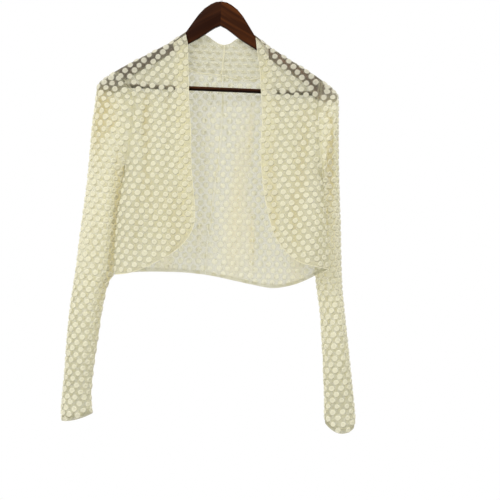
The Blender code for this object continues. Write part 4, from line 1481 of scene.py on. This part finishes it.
@dataclass
class ClothPiece:
    """One cut piece of the bolero: its net shell, its spots and what is sewn to it.

    Attributes:
        shop: The finishes.
        side: Which half it belongs to.
        net_sink: How far the net lies under the solid's outer face, which the spots reach.
        net_thickness: The net's thickness.
        hem_gap: The gap between the net and what is turned in behind it.
        stitch_pitch: From the start of one stitch to the next.
        stitch_length: A stitch's length.
        stitch_radius: Half the thread's thickness.
        side_allowance: Width of the side seam's allowance.
        fold_radius: Radius of a folded edge.
        ridge_radius: Radius of a seam's ridge.
        seeds: What the seeds of its spots count from.
        spots: The spots and their repeat.
        extras: What is sewn to it.
    """

    shop: Workshop
    side: Side
    net_sink: float = 1.0
    net_thickness: float = 0.4
    hem_gap: float = 0.35
    stitch_pitch: float = 3.4
    stitch_length: float = 2.4
    stitch_radius: float = 0.24
    side_allowance: float = 4.0
    fold_radius: float = 0.55
    ridge_radius: float = 0.7
    seeds: int = 0
    spots: SpotCut = field(default_factory=SpotCut)
    extras: list = field(default_factory=list)

    @property
    def cut(self) -> HalfCut:
        """The tables of this half."""
        return CUTS[self.side]

    def sew(self, piece: Thing, look: Look) -> None:
        """Dresses a piece of cloth or thread and sews it to this one."""
        self.extras.append(self.shop.finish(piece, look, "net"))

    @property
    def seed(self) -> int:
        """The seed of the piece's spots, another one on each side."""
        return self.seeds + self.side.number

    def armhole_heights(self, angles: Array) -> Array:
        """The heights of the armhole's points, at angles from its top."""
        top, foot = self.cut.armhole[-1][0], self.cut.armhole[0][0]
        return (top + foot) / 2 + (top - foot) / 2 * np.cos(angles)

    def outer_edge(self, face: Face) -> Array:
        """The armhole and the side seam under it, as one line of (x, z)."""
        z = self.armhole_heights(np.linspace(0, math.pi, 90))
        armhole = np.column_stack([FORM.armhole_x(self.side, face, z), z])
        z = np.linspace(self.cut.side_seam[0][0], self.cut.side_seam[-1][0], 60)[1:]
        return np.vstack([armhole, np.column_stack([FORM.seam_x(self.side, z), z])])

    def shell(
        self, name: str, cloth: ClothGrid, node: str, shade: Array | None = None,
        look: Look | None = None,
    ) -> Thing:
        """The piece's net, which stands for its solid.

        Args:
            name: The piece's name.
            cloth: Its outer face.
            node: The solid.
            shade: How deep in a trough each point lies, up to 1, and under 0 where the net hides less.
            look: Its material, where it isn't the plain net.

        Returns:
            The piece.
        """
        piece = MeshMaker.wall(name, cloth.sunk(self.net_sink), self.net_thickness, shade)
        return self.shop.finish(piece, look or self.shop.net, "net", (node,))

    def dots(
        self, name: str, cloth: ClothGrid, seed: int, squash: float = 1.0,
        look: Look | None = None,
    ) -> None:
        """The raised spots on the outer face of a tube or a small grid of cloth.

        Args:
            name: The piece's name.
            cloth: The cloth that they stand on.
            seed: The seed of their small differences.
            squash: Their height along the cloth beside their width.
            look: Their material, where it isn't the plain yarn.
        """
        flat = cloth.place.reshape(-1, 2)
        ground = GridGround(cloth)
        piece = self.spots.make(name, ground, (flat.min(axis=0), flat.max(axis=0)), seed, squash)
        self.sew(piece, look or self.shop.yarn)

    def body_dots(self, name: str, face: Face, cloth: ClothGrid, grain: tuple, seed: int) -> None:
        """The raised spots on the outer face of a body panel."""
        p = cloth.points
        rim = np.vstack([p[0], p[1:, -1], p[-1, -2::-1], p[-2:0:-1, 0]])[:, [0, 2]]
        flat = cloth.place.reshape(-1, 2)
        ground = BodyGround(face, rim, grain, self.net_sink)
        piece = self.spots.make(name, ground, (flat.min(axis=0), flat.max(axis=0)), seed)
        self.sew(piece, self.shop.yarn if face is Face.FRONT else self.shop.back_yarn)

    def layer(
        self, name: str, strip: ClothGrid, look: Look, deep: float | None = None,
    ) -> None:
        """A turned-in layer of net on the inner face.

        Args:
            name: The layer's name.
            strip: The stretch of cloth that it backs.
            look: Its material, brighter at a hem than at a seam allowance.
            deep: The gap between it and the cloth.
        """
        depth = self.net_sink + self.net_thickness + (self.hem_gap if deep is None else deep)
        self.sew(MeshMaker.wall(name, strip.sunk(depth), self.net_thickness), look)

    def side_seam(self, name: str, cloth: ClothGrid) -> None:
        """The allowance of the side seam, from just under the armhole's top to the hem."""
        strip = cloth.strip(Edge.OUTER, self.side_allowance, 4).rows(4, None)
        self.layer(name, strip, self.shop.lined)

    def ridge(self, name: str, line: Array, radius: float) -> None:
        """A rolled seam or folded edge, as a thin tube."""
        self.sew(MeshMaker.tube(name, line, radius), self.shop.thread)

    def stitches(self, name: str, strips: list[ClothGrid]) -> None:
        """A row of machine stitches along the inner edge of each strip."""
        vertices, faces, count = [], [], 0
        for strip in strips:
            line, normal = strip.points[:, -1], strip.normals[:, -1]
            run = lengths_along(line)
            starts = np.arange(self.stitch_pitch, run[-1] - self.stitch_pitch, self.stitch_pitch)
            for start in starts:
                at = start + self.stitch_length * np.linspace(0, 1, 4)
                lift = np.array([0.0, 0.3, 0.3, 0.0]) - self.net_sink + 0.02
                path = np.column_stack([np.interp(at, run, line[:, k]) for k in range(3)])
                out = unit(np.column_stack([np.interp(at, run, normal[:, k]) for k in range(3)]))
                ring, sides = tube_parts(path + out * lift[:, None], self.stitch_radius, 4)
                vertices.append(ring)
                faces.extend([[index + count for index in face] for face in sides])
                count += len(ring)
        self.sew(MeshMaker.make(name, np.vstack(vertices), faces), self.shop.thread)

    def declare(self, piece: Thing, cloth: ClothGrid, flat: tuple[float, float], on: list) -> None:
        """Works out the cloth's area, held to that of its cut, and does nothing with it.

        Args:
            piece: The net shell; not used.
            cloth: Its surface, whose area the cut had.
            flat: Width and length of the cut, in metres.
            on: What it hangs from; not used.
        """
        area = min(cloth.area(), flat[0] * flat[1])
        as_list(self.extras)


@dataclass
class FrontPanel(ClothPiece):
    """One front: open edge with its facing, cut-away curve, hem and armhole.

    Attributes:
        facing_width: Width of the strip turned in behind the open edge.
        taper_from: The share of the edge where the strip starts to narrow.
        taper_run: The share of the edge over which it narrows.
        curve_hem: What its width narrows to along the cut-away curve.
        hem: Width of the hem.
        flat: The front's cut, in metres.
        facing_flat: The facing's cut, in metres.
        arm_reach: How far under the shoulder line the hanger's arm lies behind the net.
        arm_fade: The length over which that ends.
        arm_shows: How much of the shade is taken off there, so that more of the wood shows.
        bar_z: The height of the crossbar behind the net.
        bar_reach: Half the height over which it shows.
        bar_shows: How much of the shade is taken off over it.
    """

    seeds: int = 10
    rows: int = 150
    columns: int = 64
    facing_width: float = 28.0
    # taper_from: The share of the edge where the strip starts to taper.
    taper_from: float = 0.72
    taper_run: float = 0.14
    curve_hem: float = 9.0
    hem: float = 8.0
    flat: tuple[float, float] = (0.22, 0.45)
    facing_flat: tuple[float, float] = (0.05, 0.50)
    arm_reach: float = 34.0
    arm_fade: float = 6.0
    arm_shows: float = 0.9
    bar_z: float = -241.0
    bar_reach: float = 6.0
    bar_shows: float = 2.3

    @property
    def grain(self) -> tuple:
        """Middle x, level z and tilt of the front's repeat."""
        return self.side.value * 110.0, -400.0, self.cut.front_tilt

    def surface(self) -> ClothGrid:
        """The front's outer face, from the open edge to the armhole and side seam."""
        down = np.linspace(0, 1, self.rows) ** CROWDED
        outer = spread(self.outer_edge(Face.FRONT), down)
        inner = spread(curve_through(FORM.on_shoulder(self.cut.front_edge)), down)
        across = crowd_end(self.columns, CROWDED)
        x = inner[0, 0] + (outer[0, 0] - inner[0, 0]) * across
        top_row = np.column_stack([x, FORM.shoulder(x)])
        foot_row = spread(curve_through(self.cut.front_hem), across)
        flat = fill(top_row, foot_row, inner, outer, across, down)
        points, normals = FORM.raised(Face.FRONT, flat)
        return ClothGrid(points, normals, FORM.place(Face.FRONT, flat, *self.grain))

    def build(self) -> None:
        """Builds the front, its facing, its hems, spots and stitches."""
        word = self.side.word
        cloth = self.surface()
        x, z = cloth.points[..., 0], cloth.points[..., 2]
        over_arm = ease((self.arm_reach - (FORM.shoulder(x) - z)) / self.arm_fade)
        over_bar = np.exp(-(((z - self.bar_z) / self.bar_reach) ** 2)) * (1 - over_arm)
        shade = FORM.shade(Face.FRONT, x, z) - self.arm_shows * over_arm - self.bar_shows * over_bar
        net = self.shell(f"front_{word}_net", cloth, f"front_{word}", shade)
        self.body_dots(f"front_{word}_spots", Face.FRONT, cloth, self.grain, self.seed)
        run = lengths_along(cloth.points[:, 0])
        taper = ease((run - self.taper_from * run[-1]) / (self.taper_run * run[-1]))
        width = self.facing_width + (self.curve_hem - self.facing_width) * taper
        facing = cloth.strip(Edge.INNER, width, 10).rows(5, None)
        hem = cloth.strip(Edge.FOOT, self.hem, 5)
        self.layer(f"front_{word}_hem", hem.rows(3, None), self.shop.turned)
        self.side_seam(f"front_{word}_side_seam", cloth)
        self.ridge(f"front_{word}_edge", self.rolled(cloth), self.fold_radius)
        self.stitches(f"front_{word}_stitches", [facing, hem])
        self.declare(net, cloth, self.flat, ["hanger_frame"])
        strip = FrontFacing(self.shop, self.side)
        strip.build(facing, self.facing_flat)

    def rolled(self, cloth: ClothGrid) -> Array:
        """The folded open edge and hem as one line, at the middle of the net."""
        sunk = cloth.sunk(self.net_sink + self.net_thickness / 2)
        return np.vstack([sunk.points[6:, 0], sunk.points[-1, 1:]])


@dataclass
class FrontFacing(ClothPiece):
    """The strip turned in behind an open front edge, with its spotted face inside."""

    seeds: int = 30
    shift: tuple[float, float] = (4.0, 6.0)

    def build(self, strip: ClothGrid, flat: tuple[float, float]) -> None:
        """Builds the facing from the front's own edge.

        Args:
            strip: The stretch of the front that it backs.
            flat: The strip's cut, in metres.
        """
        word = self.side.word
        depth = self.net_sink + 2 * self.net_thickness + self.hem_gap
        inside = strip.sunk(depth).turned()
        piece = MeshMaker.wall(f"front_facing_{word}_net", inside, self.net_thickness)
        self.shop.finish(piece, self.shop.turned, "net", (f"front_facing_{word}",))
        self.dots(f"front_facing_{word}_spots", inside.moved(self.shift), self.seed)
        self.declare(piece, inside, flat, [f"front_{word}_net"])


@dataclass
class BackPanel(ClothPiece):
    """One half of the back, from the centre seam to the side seam and armhole."""

    seeds: int = 20
    rows: int = 150
    neck_columns: int = 44
    shoulder_columns: int = 36
    neck_share: float = 0.42
    hem: float = 6.0
    centre_allowance: float = 2.4
    neck_allowance: float = 4.0
    flat: tuple[float, float] = (0.24, 0.44)
    tilt: tuple[float, float] = (0.0, 0.0)

    @property
    def grain(self) -> tuple:
        """Middle x, level z and tilt of the back's repeat."""
        return self.side.value * 90.0, -400.0, self.tilt

    def surface(self) -> ClothGrid:
        """The back's outer face, from the centre seam outwards."""
        down = np.linspace(0, 1, self.rows) ** CROWDED
        outer = spread(self.outer_edge(Face.BACK), down)
        gap = FORM.seam_gap / 2
        neck = neckline(self.side, -gap, self.neck_columns)
        shoulder = crowd_end(self.shoulder_columns, CROWDED)[1:]
        start = self.neck_share * crowd_end(self.neck_columns, CROWDED_NECK)
        across = np.concatenate([start, self.neck_share + (1 - self.neck_share) * shoulder])
        x = neck[-1, 0] + (outer[0, 0] - neck[-1, 0]) * shoulder
        top_row = np.vstack([neck, np.column_stack([x, FORM.shoulder(x)])])
        inner = spread(curve_through(CENTRE_BACK), down)
        inner[:, 0] += self.side.value * gap
        top_row[0], inner[0] = (inner[0, 0], top_row[0, 1]), (inner[0, 0], top_row[0, 1])
        foot_row = spread(curve_through(self.cut.back_hem), across)
        foot_row[0] = inner[-1]
        flat = fill(top_row, foot_row, inner, outer, across, down)
        points, normals = FORM.raised(Face.BACK, flat)
        return ClothGrid(points, normals, FORM.place(Face.BACK, flat, *self.grain))

    def build(self) -> None:
        """Builds the back half, its hem, seams, spots and stitches."""
        word = self.side.word
        cloth = self.surface()
        shade = FORM.shade(Face.BACK, cloth.points[..., 0], cloth.points[..., 2])
        net = self.shell(f"back_{word}_net", cloth, f"back_{word}", shade, self.shop.shaded_back_net)
        self.body_dots(f"back_{word}_spots", Face.BACK, cloth, self.grain, self.seed)
        hem = cloth.strip(Edge.FOOT, self.hem, 5)
        self.layer(f"back_{word}_hem", hem, self.shop.lined)
        centre = cloth.strip(Edge.INNER, self.centre_allowance, 4).rows(2, None)
        self.layer(f"back_{word}_centre_seam", centre, self.shop.net)
        self.side_seam(f"back_{word}_side_seam", cloth)
        neck = cloth.strip(Edge.TOP, self.neck_allowance, 4).rows(0, self.neck_columns)
        self.layer(f"back_{word}_neck_seam", neck, self.shop.net)
        self.stitches(f"back_{word}_stitches", [hem])
        self.declare(net, cloth, self.flat, ["hanger_frame"])


def neckline(side: Side, aside: float, count: int) -> Array:
    """The seam between back and neck band, from the centre back to the shoulder.

    Args:
        side: The half.
        aside: How far above the seam the line lies.
        count: The line's points.

    Returns:
        The line as (x, z).
    """
    line = curve_through(FORM.on_shoulder(CUTS[side].back_neck))[::-1]
    points = spread(line, crowd_end(count, CROWDED_NECK))
    along = unit(np.gradient(points, axis=0))
    upward = np.column_stack([-along[:, 1], along[:, 0]]) * side.value
    return points + upward * aside


@dataclass
class NeckBand(ClothPiece):
    """One half of the band that stands up behind the neck."""

    seeds: int = 40
    inner_seed: int = 43
    columns: int = 48
    rows: int = 26
    lining_gap: float = 0.2
    squash: float = 0.6
    inner_squash: float = 0.45
    shift: tuple[float, float] = (5.0, 3.0)
    flat: tuple[float, float] = (0.12, 0.08)
    thread_end: tuple = ((-1, 1), (2, -3), (7, -6), (5, -11), (1, -9))

    def surface(self) -> ClothGrid:
        """The band's outer face, from its free edge down to the neckline seam."""
        across = crowd_end(self.columns, CROWDED_NECK)
        down = np.linspace(0, 1, self.rows)
        gap = FORM.seam_gap / 2
        foot = neckline(self.side, gap, self.columns)
        top = spread(curve_through(FORM.on_shoulder(self.cut.band_top))[::-1], across)
        inner = spread(curve_through(BAND_CENTRE), down)
        inner[:, 0] += self.side.value * gap
        top[0] = inner[0]
        foot[0, 0] = inner[-1, 0]
        inner[-1] = foot[0]
        x = top[-1, 0] + (foot[-1, 0] - top[-1, 0]) * down
        outer = np.column_stack([x, FORM.shoulder(x)])
        foot[-1] = outer[-1]
        flat = fill(top, foot, inner, outer, across, down)
        points, normals = FORM.raised(Face.BACK, flat)
        fade = ease(np.linspace(1, 0, self.columns) * 4)[None] * np.sin(math.pi * down)[:, None]
        for height, slope, width, rise in BAND_CREASES:
            away = flat[..., 1] - height - slope * flat[..., 0]
            bump = rise * np.exp(-((away / width) ** 2)) * fade
            points = points + normals * bump[..., None]
        middle = self.side.value * 45.0
        return ClothGrid(points, normals, FORM.place(Face.BACK, flat, middle, -180.0, (0.0, 0.0)))

    def build(self) -> None:
        """Builds the band half as two layers of net, with its spots and seams."""
        word = self.side.word
        cloth = self.surface()
        net = self.shell(f"neck_band_{word}_net", cloth, f"neck_band_{word}", None, self.shop.shaded_back_net)
        self.dots(f"neck_band_{word}_spots", cloth.sunk(self.net_sink), self.seed, self.squash)
        self.layer(f"neck_band_{word}_lining", cloth, self.shop.lined, self.lining_gap)
        inside = cloth.sunk(self.net_sink + 2 * self.net_thickness + self.lining_gap).turned()
        self.dots(
            f"neck_band_{word}_inner_spots", inside.moved(self.shift), self.inner_seed,
            self.inner_squash, self.shop.flat_yarn,
        )
        top = cloth.sunk(self.net_sink + self.net_thickness).points[0]
        self.ridge(f"neck_band_{word}_edge", top, self.fold_radius)
        self.seams(word, cloth)
        self.declare(net, cloth, self.flat, ["hanger_frame"])

    def seams(self, word: str, cloth: ClothGrid) -> None:
        """The uneven ridges where the band is joined at the centre back and to the back.

        Args:
            word: The half's word.
            cloth: The band's outer face.
        """
        inner = cloth.sunk(self.net_sink + 2 * self.net_thickness + 0.9).points
        run = lengths_along(inner[-1])
        foot = inner[-1].copy()
        foot[:, 2] += 0.7 * np.sin(run / 6.5 + self.side.value) + 0.4 * np.sin(run / 2.9)
        self.ridge(f"neck_band_{word}_neck_ridge", foot, 0.75)
        centre = inner[:, 0].copy() + [self.side.value * 0.5, 0.0, 0.0]
        run = lengths_along(centre)
        centre[:, 0] += 0.5 * np.sin(run / 7.0) - 1.6 * np.exp(-(((run - 50.0) / 5.0) ** 2))
        self.ridge(f"neck_band_{word}_centre_ridge", centre, self.ridge_radius)
        if self.side is Side.LEFT:
            x, y, z = inner[-1, 1]
            tail = np.array([(x + aside, y - 1.6, z + up) for aside, up in self.thread_end])
            self.ridge("neck_band_loose_thread", curve_through(tail, 24), 0.35)


@dataclass
class Sleeve(ClothPiece):
    """A long sleeve from the armhole to the cuff, one tube with its seam under the arm."""

    seeds: int = 50
    around: int = 120
    row_step: float = 4.2
    blend_rings: float = 5.0
    cuff_rings: float = 3.0
    armhole_gap: float = 0.15
    armhole_allowance: float = 5.0
    allowance_from: float = 0.6
    cuff_hem: float = 9.0
    flat: tuple[float, float] = (0.42, 0.68)

    def armhole_loop(self, angles: Array) -> Array:
        """The armhole seam as a ring at these angles, down the front and up the back."""
        z = self.armhole_heights(angles)
        loop = np.zeros((len(angles), 3))
        front = np.sin(angles) >= -1e-9
        for face, chosen in ((Face.FRONT, front), (Face.BACK, ~front)):
            flat = np.column_stack([FORM.armhole_x(self.side, face, z[chosen]), z[chosen]])
            loop[chosen] = FORM.raised(face, flat[None])[0][0]
        at_top = (np.abs(np.sin(angles)) < 1e-9) & (np.cos(angles) > 0)
        loop[at_top, 1] = 0.0
        return loop

    def rise(self, share: float, degrees: Array) -> Array:
        """How far folds and creases stand out round the sleeve at one share of its length."""
        total = np.zeros(len(degrees))
        for start, end, first, last, width, rise in self.cut.sleeve_folds + self.cut.sleeve_creases:
            t = min(max((share - start) / (end - start), 0.0), 1.0)
            turn = (degrees - (first + (last - first) * t) + 180) % 360 - 180
            total += rise * math.sin(math.pi * t) * np.exp(-((turn / width) ** 2))
        return total

    def surface(self) -> tuple[ClothGrid, Array]:
        """The sleeve's outer face as a tube, whose first column runs under the arm, and its painted trough
        shade.
        """
        table = np.array(self.cut.sleeve_rings)
        last = len(table) - 1
        middle_run = lengths_along((table[:, [0, 1]] + table[:, [2, 3]]) / 2)
        outer_run = lengths_along(table[:, [0, 1]])
        run = (middle_run + outer_run) / 2
        count = int(run[-1] / self.row_step)
        keys = np.interp(np.linspace(0, run[-1], count), run, np.arange(last + 1))
        turn = math.pi + np.linspace(0, 2 * math.pi, self.around + 1)
        degrees = np.degrees(turn) % 360
        loop = self.armhole_loop(turn)
        rows, trough_shade = [], []
        from_ellipse = None
        for key in keys:
            out_x, out_z, in_x, in_z, deep, middle_y = (
                float(smooth(np.arange(last + 1), table[:, k], key)) for k in range(6)
            )
            reach = np.array([out_x - in_x, 0.0, out_z - in_z]) / 2
            middle = np.array([(out_x + in_x) / 2, middle_y, (out_z + in_z) / 2])
            long = np.linalg.norm(reach)
            cos, sin = np.cos(turn)[:, None], np.sin(turn)[:, None]
            outward = unit(cos * reach / long**2 + sin * np.array([0.0, -1.0, 0.0]) / deep)
            ring = middle + cos * reach + sin * np.array([0.0, -deep, 0.0])
            if from_ellipse is None:
                from_ellipse = loop - ring
            ring = ring + from_ellipse * max(0.0, 1 - key / self.blend_rings) ** 2
            rise = self.rise(key / last, degrees)
            # Troughs are marked for the net's painted shade.
            trough_shade.append(np.clip(-rise / FORM.full_shade, 0, 1))
            ring = ring + outward * rise[:, None]
            near_cuff = max(0.0, 1 - (last - key) / self.cuff_rings)
            ring[:, 2] -= self.cut.cuff_dip * near_cuff * np.sin(turn) ** 2
            rows.append(ring)
        points = np.array(rows)
        points[0, :, 0] += self.side.value * self.armhole_gap
        ring = points[:, :-1]
        across = np.roll(ring, -1, axis=1) - np.roll(ring, 1, axis=1)
        normals = unit(np.cross(np.gradient(ring, axis=0), across))
        if (normals[-1] * (ring[-1] - ring[-1].mean(axis=0))).sum() < 0:
            normals = -normals
        normals = np.concatenate([normals, normals[:, :1]], axis=1)
        grain = np.array([self.cut.sleeve_grain[0], 0.0, self.cut.sleeve_grain[1]])
        place = flattened(points, normals, grain)
        return ClothGrid(points, normals, place, closed=True), np.array(trough_shade)

    def build(self) -> None:
        """Builds the sleeve, its cuff hem, armhole and underarm seams, spots and stitches."""
        word = self.side.word
        cloth, shade = self.surface()
        net = self.shell(f"sleeve_{word}_net", cloth, f"sleeve_{word}", shade)
        self.dots(f"sleeve_{word}_spots", cloth.sunk(self.net_sink), self.seed)
        hem = cloth.strip(Edge.FOOT, self.cuff_hem, 5)
        self.layer(f"sleeve_{word}_cuff_hem", hem, self.shop.lined)
        seam = cloth.strip(Edge.TOP, self.armhole_allowance, 4, self.allowance_from)
        self.layer(f"sleeve_{word}_armhole_seam", seam, self.shop.net)
        under = cloth.sunk(self.net_sink + self.net_thickness + 0.5).points[4:-2, 0]
        self.ridge(f"sleeve_{word}_underarm_seam", under, self.ridge_radius)
        self.stitches(f"sleeve_{word}_stitches", [hem])
        self.declare(net, cloth, self.flat, ["hanger_frame"])


@dataclass
class CoatHanger:
    """A flat wooden hanger with a round crossbar and a wire hook, in millimetres."""

    shop: Workshop
    half_thickness: float = 5.5
    edge_radius: float = 3.2
    bar_radius: float = 4.0
    bar_round: float = 0.6
    bar_z: float = -237.2
    bar_half: float = 193.0
    bar_hole_from: float = 162.0
    clearance: float = 0.3
    wire_radius: float = 1.9
    hook_radius: float = 21.0
    stem_foot: float = -96.0
    hook_neck: tuple = ((0.0, -80.0), (0.0, -64.0), (1.6, -56.0), (6.5, -47.5))

    @staticmethod
    def deselect() -> None:
        """Clears the selection, so that an operator acts on new things only."""
        if bpy.context.mode != "OBJECT":
            bpy.ops.object.mode_set(mode="OBJECT")
        bpy.ops.object.select_all(action="DESELECT")

    @staticmethod
    def round_edges(piece: Thing, name: str, radius: float, steps: int) -> None:
        """Adds a modifier that rounds the piece's sharp edges."""
        rounding = piece.modifiers.new(name, "BEVEL")
        rounding.width = radius * MM
        rounding.segments = steps
        rounding.limit_method = "ANGLE"
        rounding.angle_limit = math.radians(50)

    @staticmethod
    def apply_all(piece: Thing) -> None:
        """Applies every modifier of the active piece in order."""
        for modifier in list(piece.modifiers):
            bpy.ops.object.modifier_apply(modifier=modifier.name)

    def rod(self, name: str, radius: float, start: tuple, end: tuple, sides: int = 40) -> Thing:
        """A round rod between two points, placed in its mesh.

        Args:
            name: The rod's name.
            radius: Its radius.
            start: One end.
            end: The other end.
            sides: The sides of its section.

        Returns:
            The rod, active and selected.
        """
        self.deselect()
        first, last = Vector(start) * MM, Vector(end) * MM
        bpy.ops.mesh.primitive_cylinder_add(
            vertices=sides, radius=radius * MM, depth=(last - first).length, location=(first + last) / 2
        )
        made = bpy.context.object
        made.name = name
        made.rotation_euler = (last - first).to_track_quat("Z", "Y").to_euler()
        bpy.ops.object.transform_apply(location=True, rotation=True, scale=True)
        return made

    def make_frame(self) -> Thing:
        """The two arms: one is drawn out from its joint, station by station, and mirrored."""
        self.deselect()
        _, top, foot = ARM[0]
        bpy.ops.mesh.primitive_plane_add(size=MM, location=(0.0, 0.0, (top + foot) / 2 * MM))
        arm = bpy.context.object
        arm.name = "hanger_arms"
        arm.rotation_euler = (0.0, math.pi / 2, 0.0)
        arm.scale = (top - foot, 2 * self.half_thickness, 1.0)
        bpy.ops.object.transform_apply(location=True, rotation=True, scale=True)
        bpy.ops.object.mode_set(mode="EDIT")
        bpy.ops.mesh.select_all(action="SELECT")
        for (x0, top0, foot0), (x1, top1, foot1) in zip(ARM, ARM[1:]):
            move = ((x1 - x0) * MM, 0.0, (top1 + foot1 - top0 - foot0) / 2 * MM)
            bpy.ops.mesh.extrude_region_move(TRANSFORM_OT_translate={"value": move})
            centre = (x1 * MM, 0.0, (top1 + foot1) / 2 * MM)
            grow = (top1 - foot1) / (top0 - foot0)
            bpy.ops.transform.resize(value=(1.0, 1.0, grow), center_override=centre)
        bpy.ops.object.mode_set(mode="OBJECT")
        for polygon in arm.data.polygons:
            polygon.select = abs(polygon.center.x) < 1e-6
        bpy.ops.object.mode_set(mode="EDIT")
        bpy.ops.mesh.select_mode(type="FACE")
        bpy.ops.mesh.delete(type="ONLY_FACE")
        bpy.ops.mesh.select_all(action="SELECT")
        bpy.ops.mesh.normals_make_consistent(inside=False)
        bpy.ops.object.mode_set(mode="OBJECT")
        mirror = arm.modifiers.new("Other arm", "MIRROR")
        mirror.merge_threshold = 0.00001
        self.round_edges(arm, "Rounded edges", self.edge_radius, 4)
        self.apply_all(arm)
        self.drill(arm)
        return arm

    def drill(self, arm: Thing) -> None:
        """Cuts the sockets of the crossbar and of the hook's stem."""
        hole = self.bar_radius + self.clearance
        ends = (self.bar_hole_from, self.bar_half + self.clearance)
        tools = [
            self.rod("bar_socket", hole, *((side.value * end, 0, self.bar_z) for end in ends))
            for side in Side
        ]
        stem = self.wire_radius + self.clearance
        top = ARM[0][1] + 5
        foot = self.stem_foot - self.clearance
        tools.append(self.rod("stem_socket", stem, (0, 0, foot), (0, 0, top)))
        self.deselect()
        arm.select_set(True)
        bpy.context.view_layer.objects.active = arm
        for tool in tools:
            cut = arm.modifiers.new("Socket", "BOOLEAN")
            cut.operation = "DIFFERENCE"
            cut.object = tool
            bpy.ops.object.modifier_apply(modifier=cut.name)
            bpy.data.objects.remove(tool)
        bpy.ops.object.shade_smooth_by_angle(angle=SMOOTH_UNDER)

    def make_bar(self) -> Thing:
        """The crossbar, with softened ends."""
        ends = ((half, 0, self.bar_z) for half in (-self.bar_half, self.bar_half))
        bar = self.rod("hanger_bar", self.bar_radius, *ends)
        self.round_edges(bar, "Soft ends", self.bar_round, 2)
        self.apply_all(bar)
        bpy.ops.object.shade_smooth_by_angle(angle=SMOOTH_UNDER)
        return bar

    def make_hook(self) -> Thing:
        """The wire hook: a stem, a short bend and an open round."""
        ring = self.hook_radius + self.wire_radius
        route = [(0.0, self.stem_foot), *self.hook_neck]
        for degrees in range(-55, 201, 5):
            angle = math.radians(degrees)
            route.append((ring * math.cos(angle), -self.hook_radius + ring * math.sin(angle)))
        line = curve_through(np.array([(x, 0.0, z) for x, z in route]), 170)
        radius = np.full(len(line), self.wire_radius)
        radius[[0, -1]] = self.wire_radius * 0.55
        radius[[1, -2]] = self.wire_radius * 0.9
        vertices, faces = tube_parts(line, radius, 20)
        return MeshMaker.make("hanger_wire_hook", vertices, faces)

    def build(self) -> None:
        """Builds and dresses the hanger."""
        self.shop.finish(self.make_frame(), self.shop.wood, "wood", ("hanger_frame",))
        self.shop.finish(self.make_bar(), self.shop.bar_wood, "wood", ("hanger_crossbar",))
        self.shop.finish(self.make_hook(), self.shop.steel, "steel", ("hanger_hook",))


@dataclass
class Studio:
    """A white sweep of light all round, a pale floor, soft lamps and the camera.

    Attributes:
        picture_width: Width of the view at the hanger, in metres.
        aim: The point at the middle of the picture.
        distance: From the camera to the hanger.
        roll: How far the camera leans, in degrees.
    """

    picture_width: float = 0.910
    aim: tuple[float, float, float] = (0.0707, 0.0, -0.5266)
    distance: float = 2.2
    roll: float = 2.4
    floor_z: float = -1.42
    floor_size: float = 2.4
    surround: float = 0.78
    backdrop: float = 1.0
    from_below: float = 0.62
    from_above: float = 1.38

    def make_camera(self) -> None:
        """The camera, level and square on, leaning a little to one side."""
        lens = bpy.data.cameras.new("Camera")
        lens.sensor_width = 36.0
        lens.lens = lens.sensor_width * self.distance / self.picture_width
        camera = bpy.data.objects.new("Camera", lens)
        lean = math.radians(self.roll)
        right = Vector((math.cos(lean), 0.0, math.sin(lean)))
        up = Vector((-math.sin(lean), 0.0, math.cos(lean)))
        back = Vector((0.0, -1.0, 0.0))
        turn = Matrix((right, up, back)).transposed()
        place = Vector(self.aim) + back * self.distance
        camera.matrix_world = Matrix.Translation(place) @ turn.to_4x4()
        bpy.context.scene.collection.objects.link(camera)
        bpy.context.scene.camera = camera

    def make_world(self) -> None:
        """White all round as the camera sees it, and softer as light on the cloth."""
        world = bpy.data.worlds.new("Studio")
        bpy.context.scene.world = world
        world.use_nodes = True
        nodes = Nodes(world.node_tree)
        seen = nodes.add("LightPath").outputs["Is Camera Ray"]
        way = nodes.split(nodes.where("Generated"))
        light = nodes.range(way[1], -0.3, 0.3, self.surround, self.backdrop)
        from_height = nodes.range(way[2], -0.7, 0.7, self.from_below, self.from_above)
        light = nodes.math("MULTIPLY", light, from_height)
        rest = nodes.math("SUBTRACT", 1.0, light)
        strength = nodes.math("ADD", light, nodes.math("MULTIPLY", seen, rest))
        sky = nodes.add("Background", Color=(1.0, 1.0, 1.0, 1.0), Strength=strength)
        nodes.output(sky.outputs[0], "OutputWorld")

    def add_lamp(self, name: str, place: tuple, size: float, power: float, tint: tuple) -> None:
        """A large square lamp aimed at the garment's middle."""
        light = bpy.data.lights.new(name, "AREA")
        light.shape = "SQUARE"
        light.size = size
        light.energy = power
        light.color = tint
        lamp = bpy.data.objects.new(name, light)
        lamp.location = place
        lamp.rotation_euler = (Vector(self.aim) - Vector(place)).to_track_quat("-Z", "Y").to_euler()
        bpy.context.scene.collection.objects.link(lamp)

    def make_floor(self) -> None:
        """A plain pale floor under the hanging garment."""
        bpy.ops.object.select_all(action="DESELECT")
        bpy.ops.mesh.primitive_plane_add(size=self.floor_size, location=(0.0, 0.0, self.floor_z))
        floor = bpy.context.object
        floor.name = "floor"
        bpy.ops.object.transform_apply(location=True, rotation=True, scale=True)
        floor.data.materials.append(PlainFinish().make())

    def build(self) -> None:
        """Builds the studio."""
        self.make_camera()
        self.make_world()
        self.add_lamp("Key", (-1.1, -1.7, 0.9), 0.9, 27.0, (1.0, 0.99, 0.97))
        self.add_lamp("Fill", (1.5, -1.6, -0.1), 1.2, 6.0, (0.95, 0.97, 1.0))
        self.make_floor()
        bpy.context.scene.view_settings.view_transform = "Standard"


def main() -> None:
    """Builds the studio, the hanger and every piece of the bolero in order."""
    logging.basicConfig(level=logging.INFO, format="%(name)s %(message)s")
    Studio().build()
    shop = Workshop()
    CoatHanger(shop).build()
    for side in Side:
        FrontPanel(shop, side).build()
        BackPanel(shop, side).build()
        NeckBand(shop, side).build()
        Sleeve(shop, side).build()


if __name__ == "__main__":
    main()
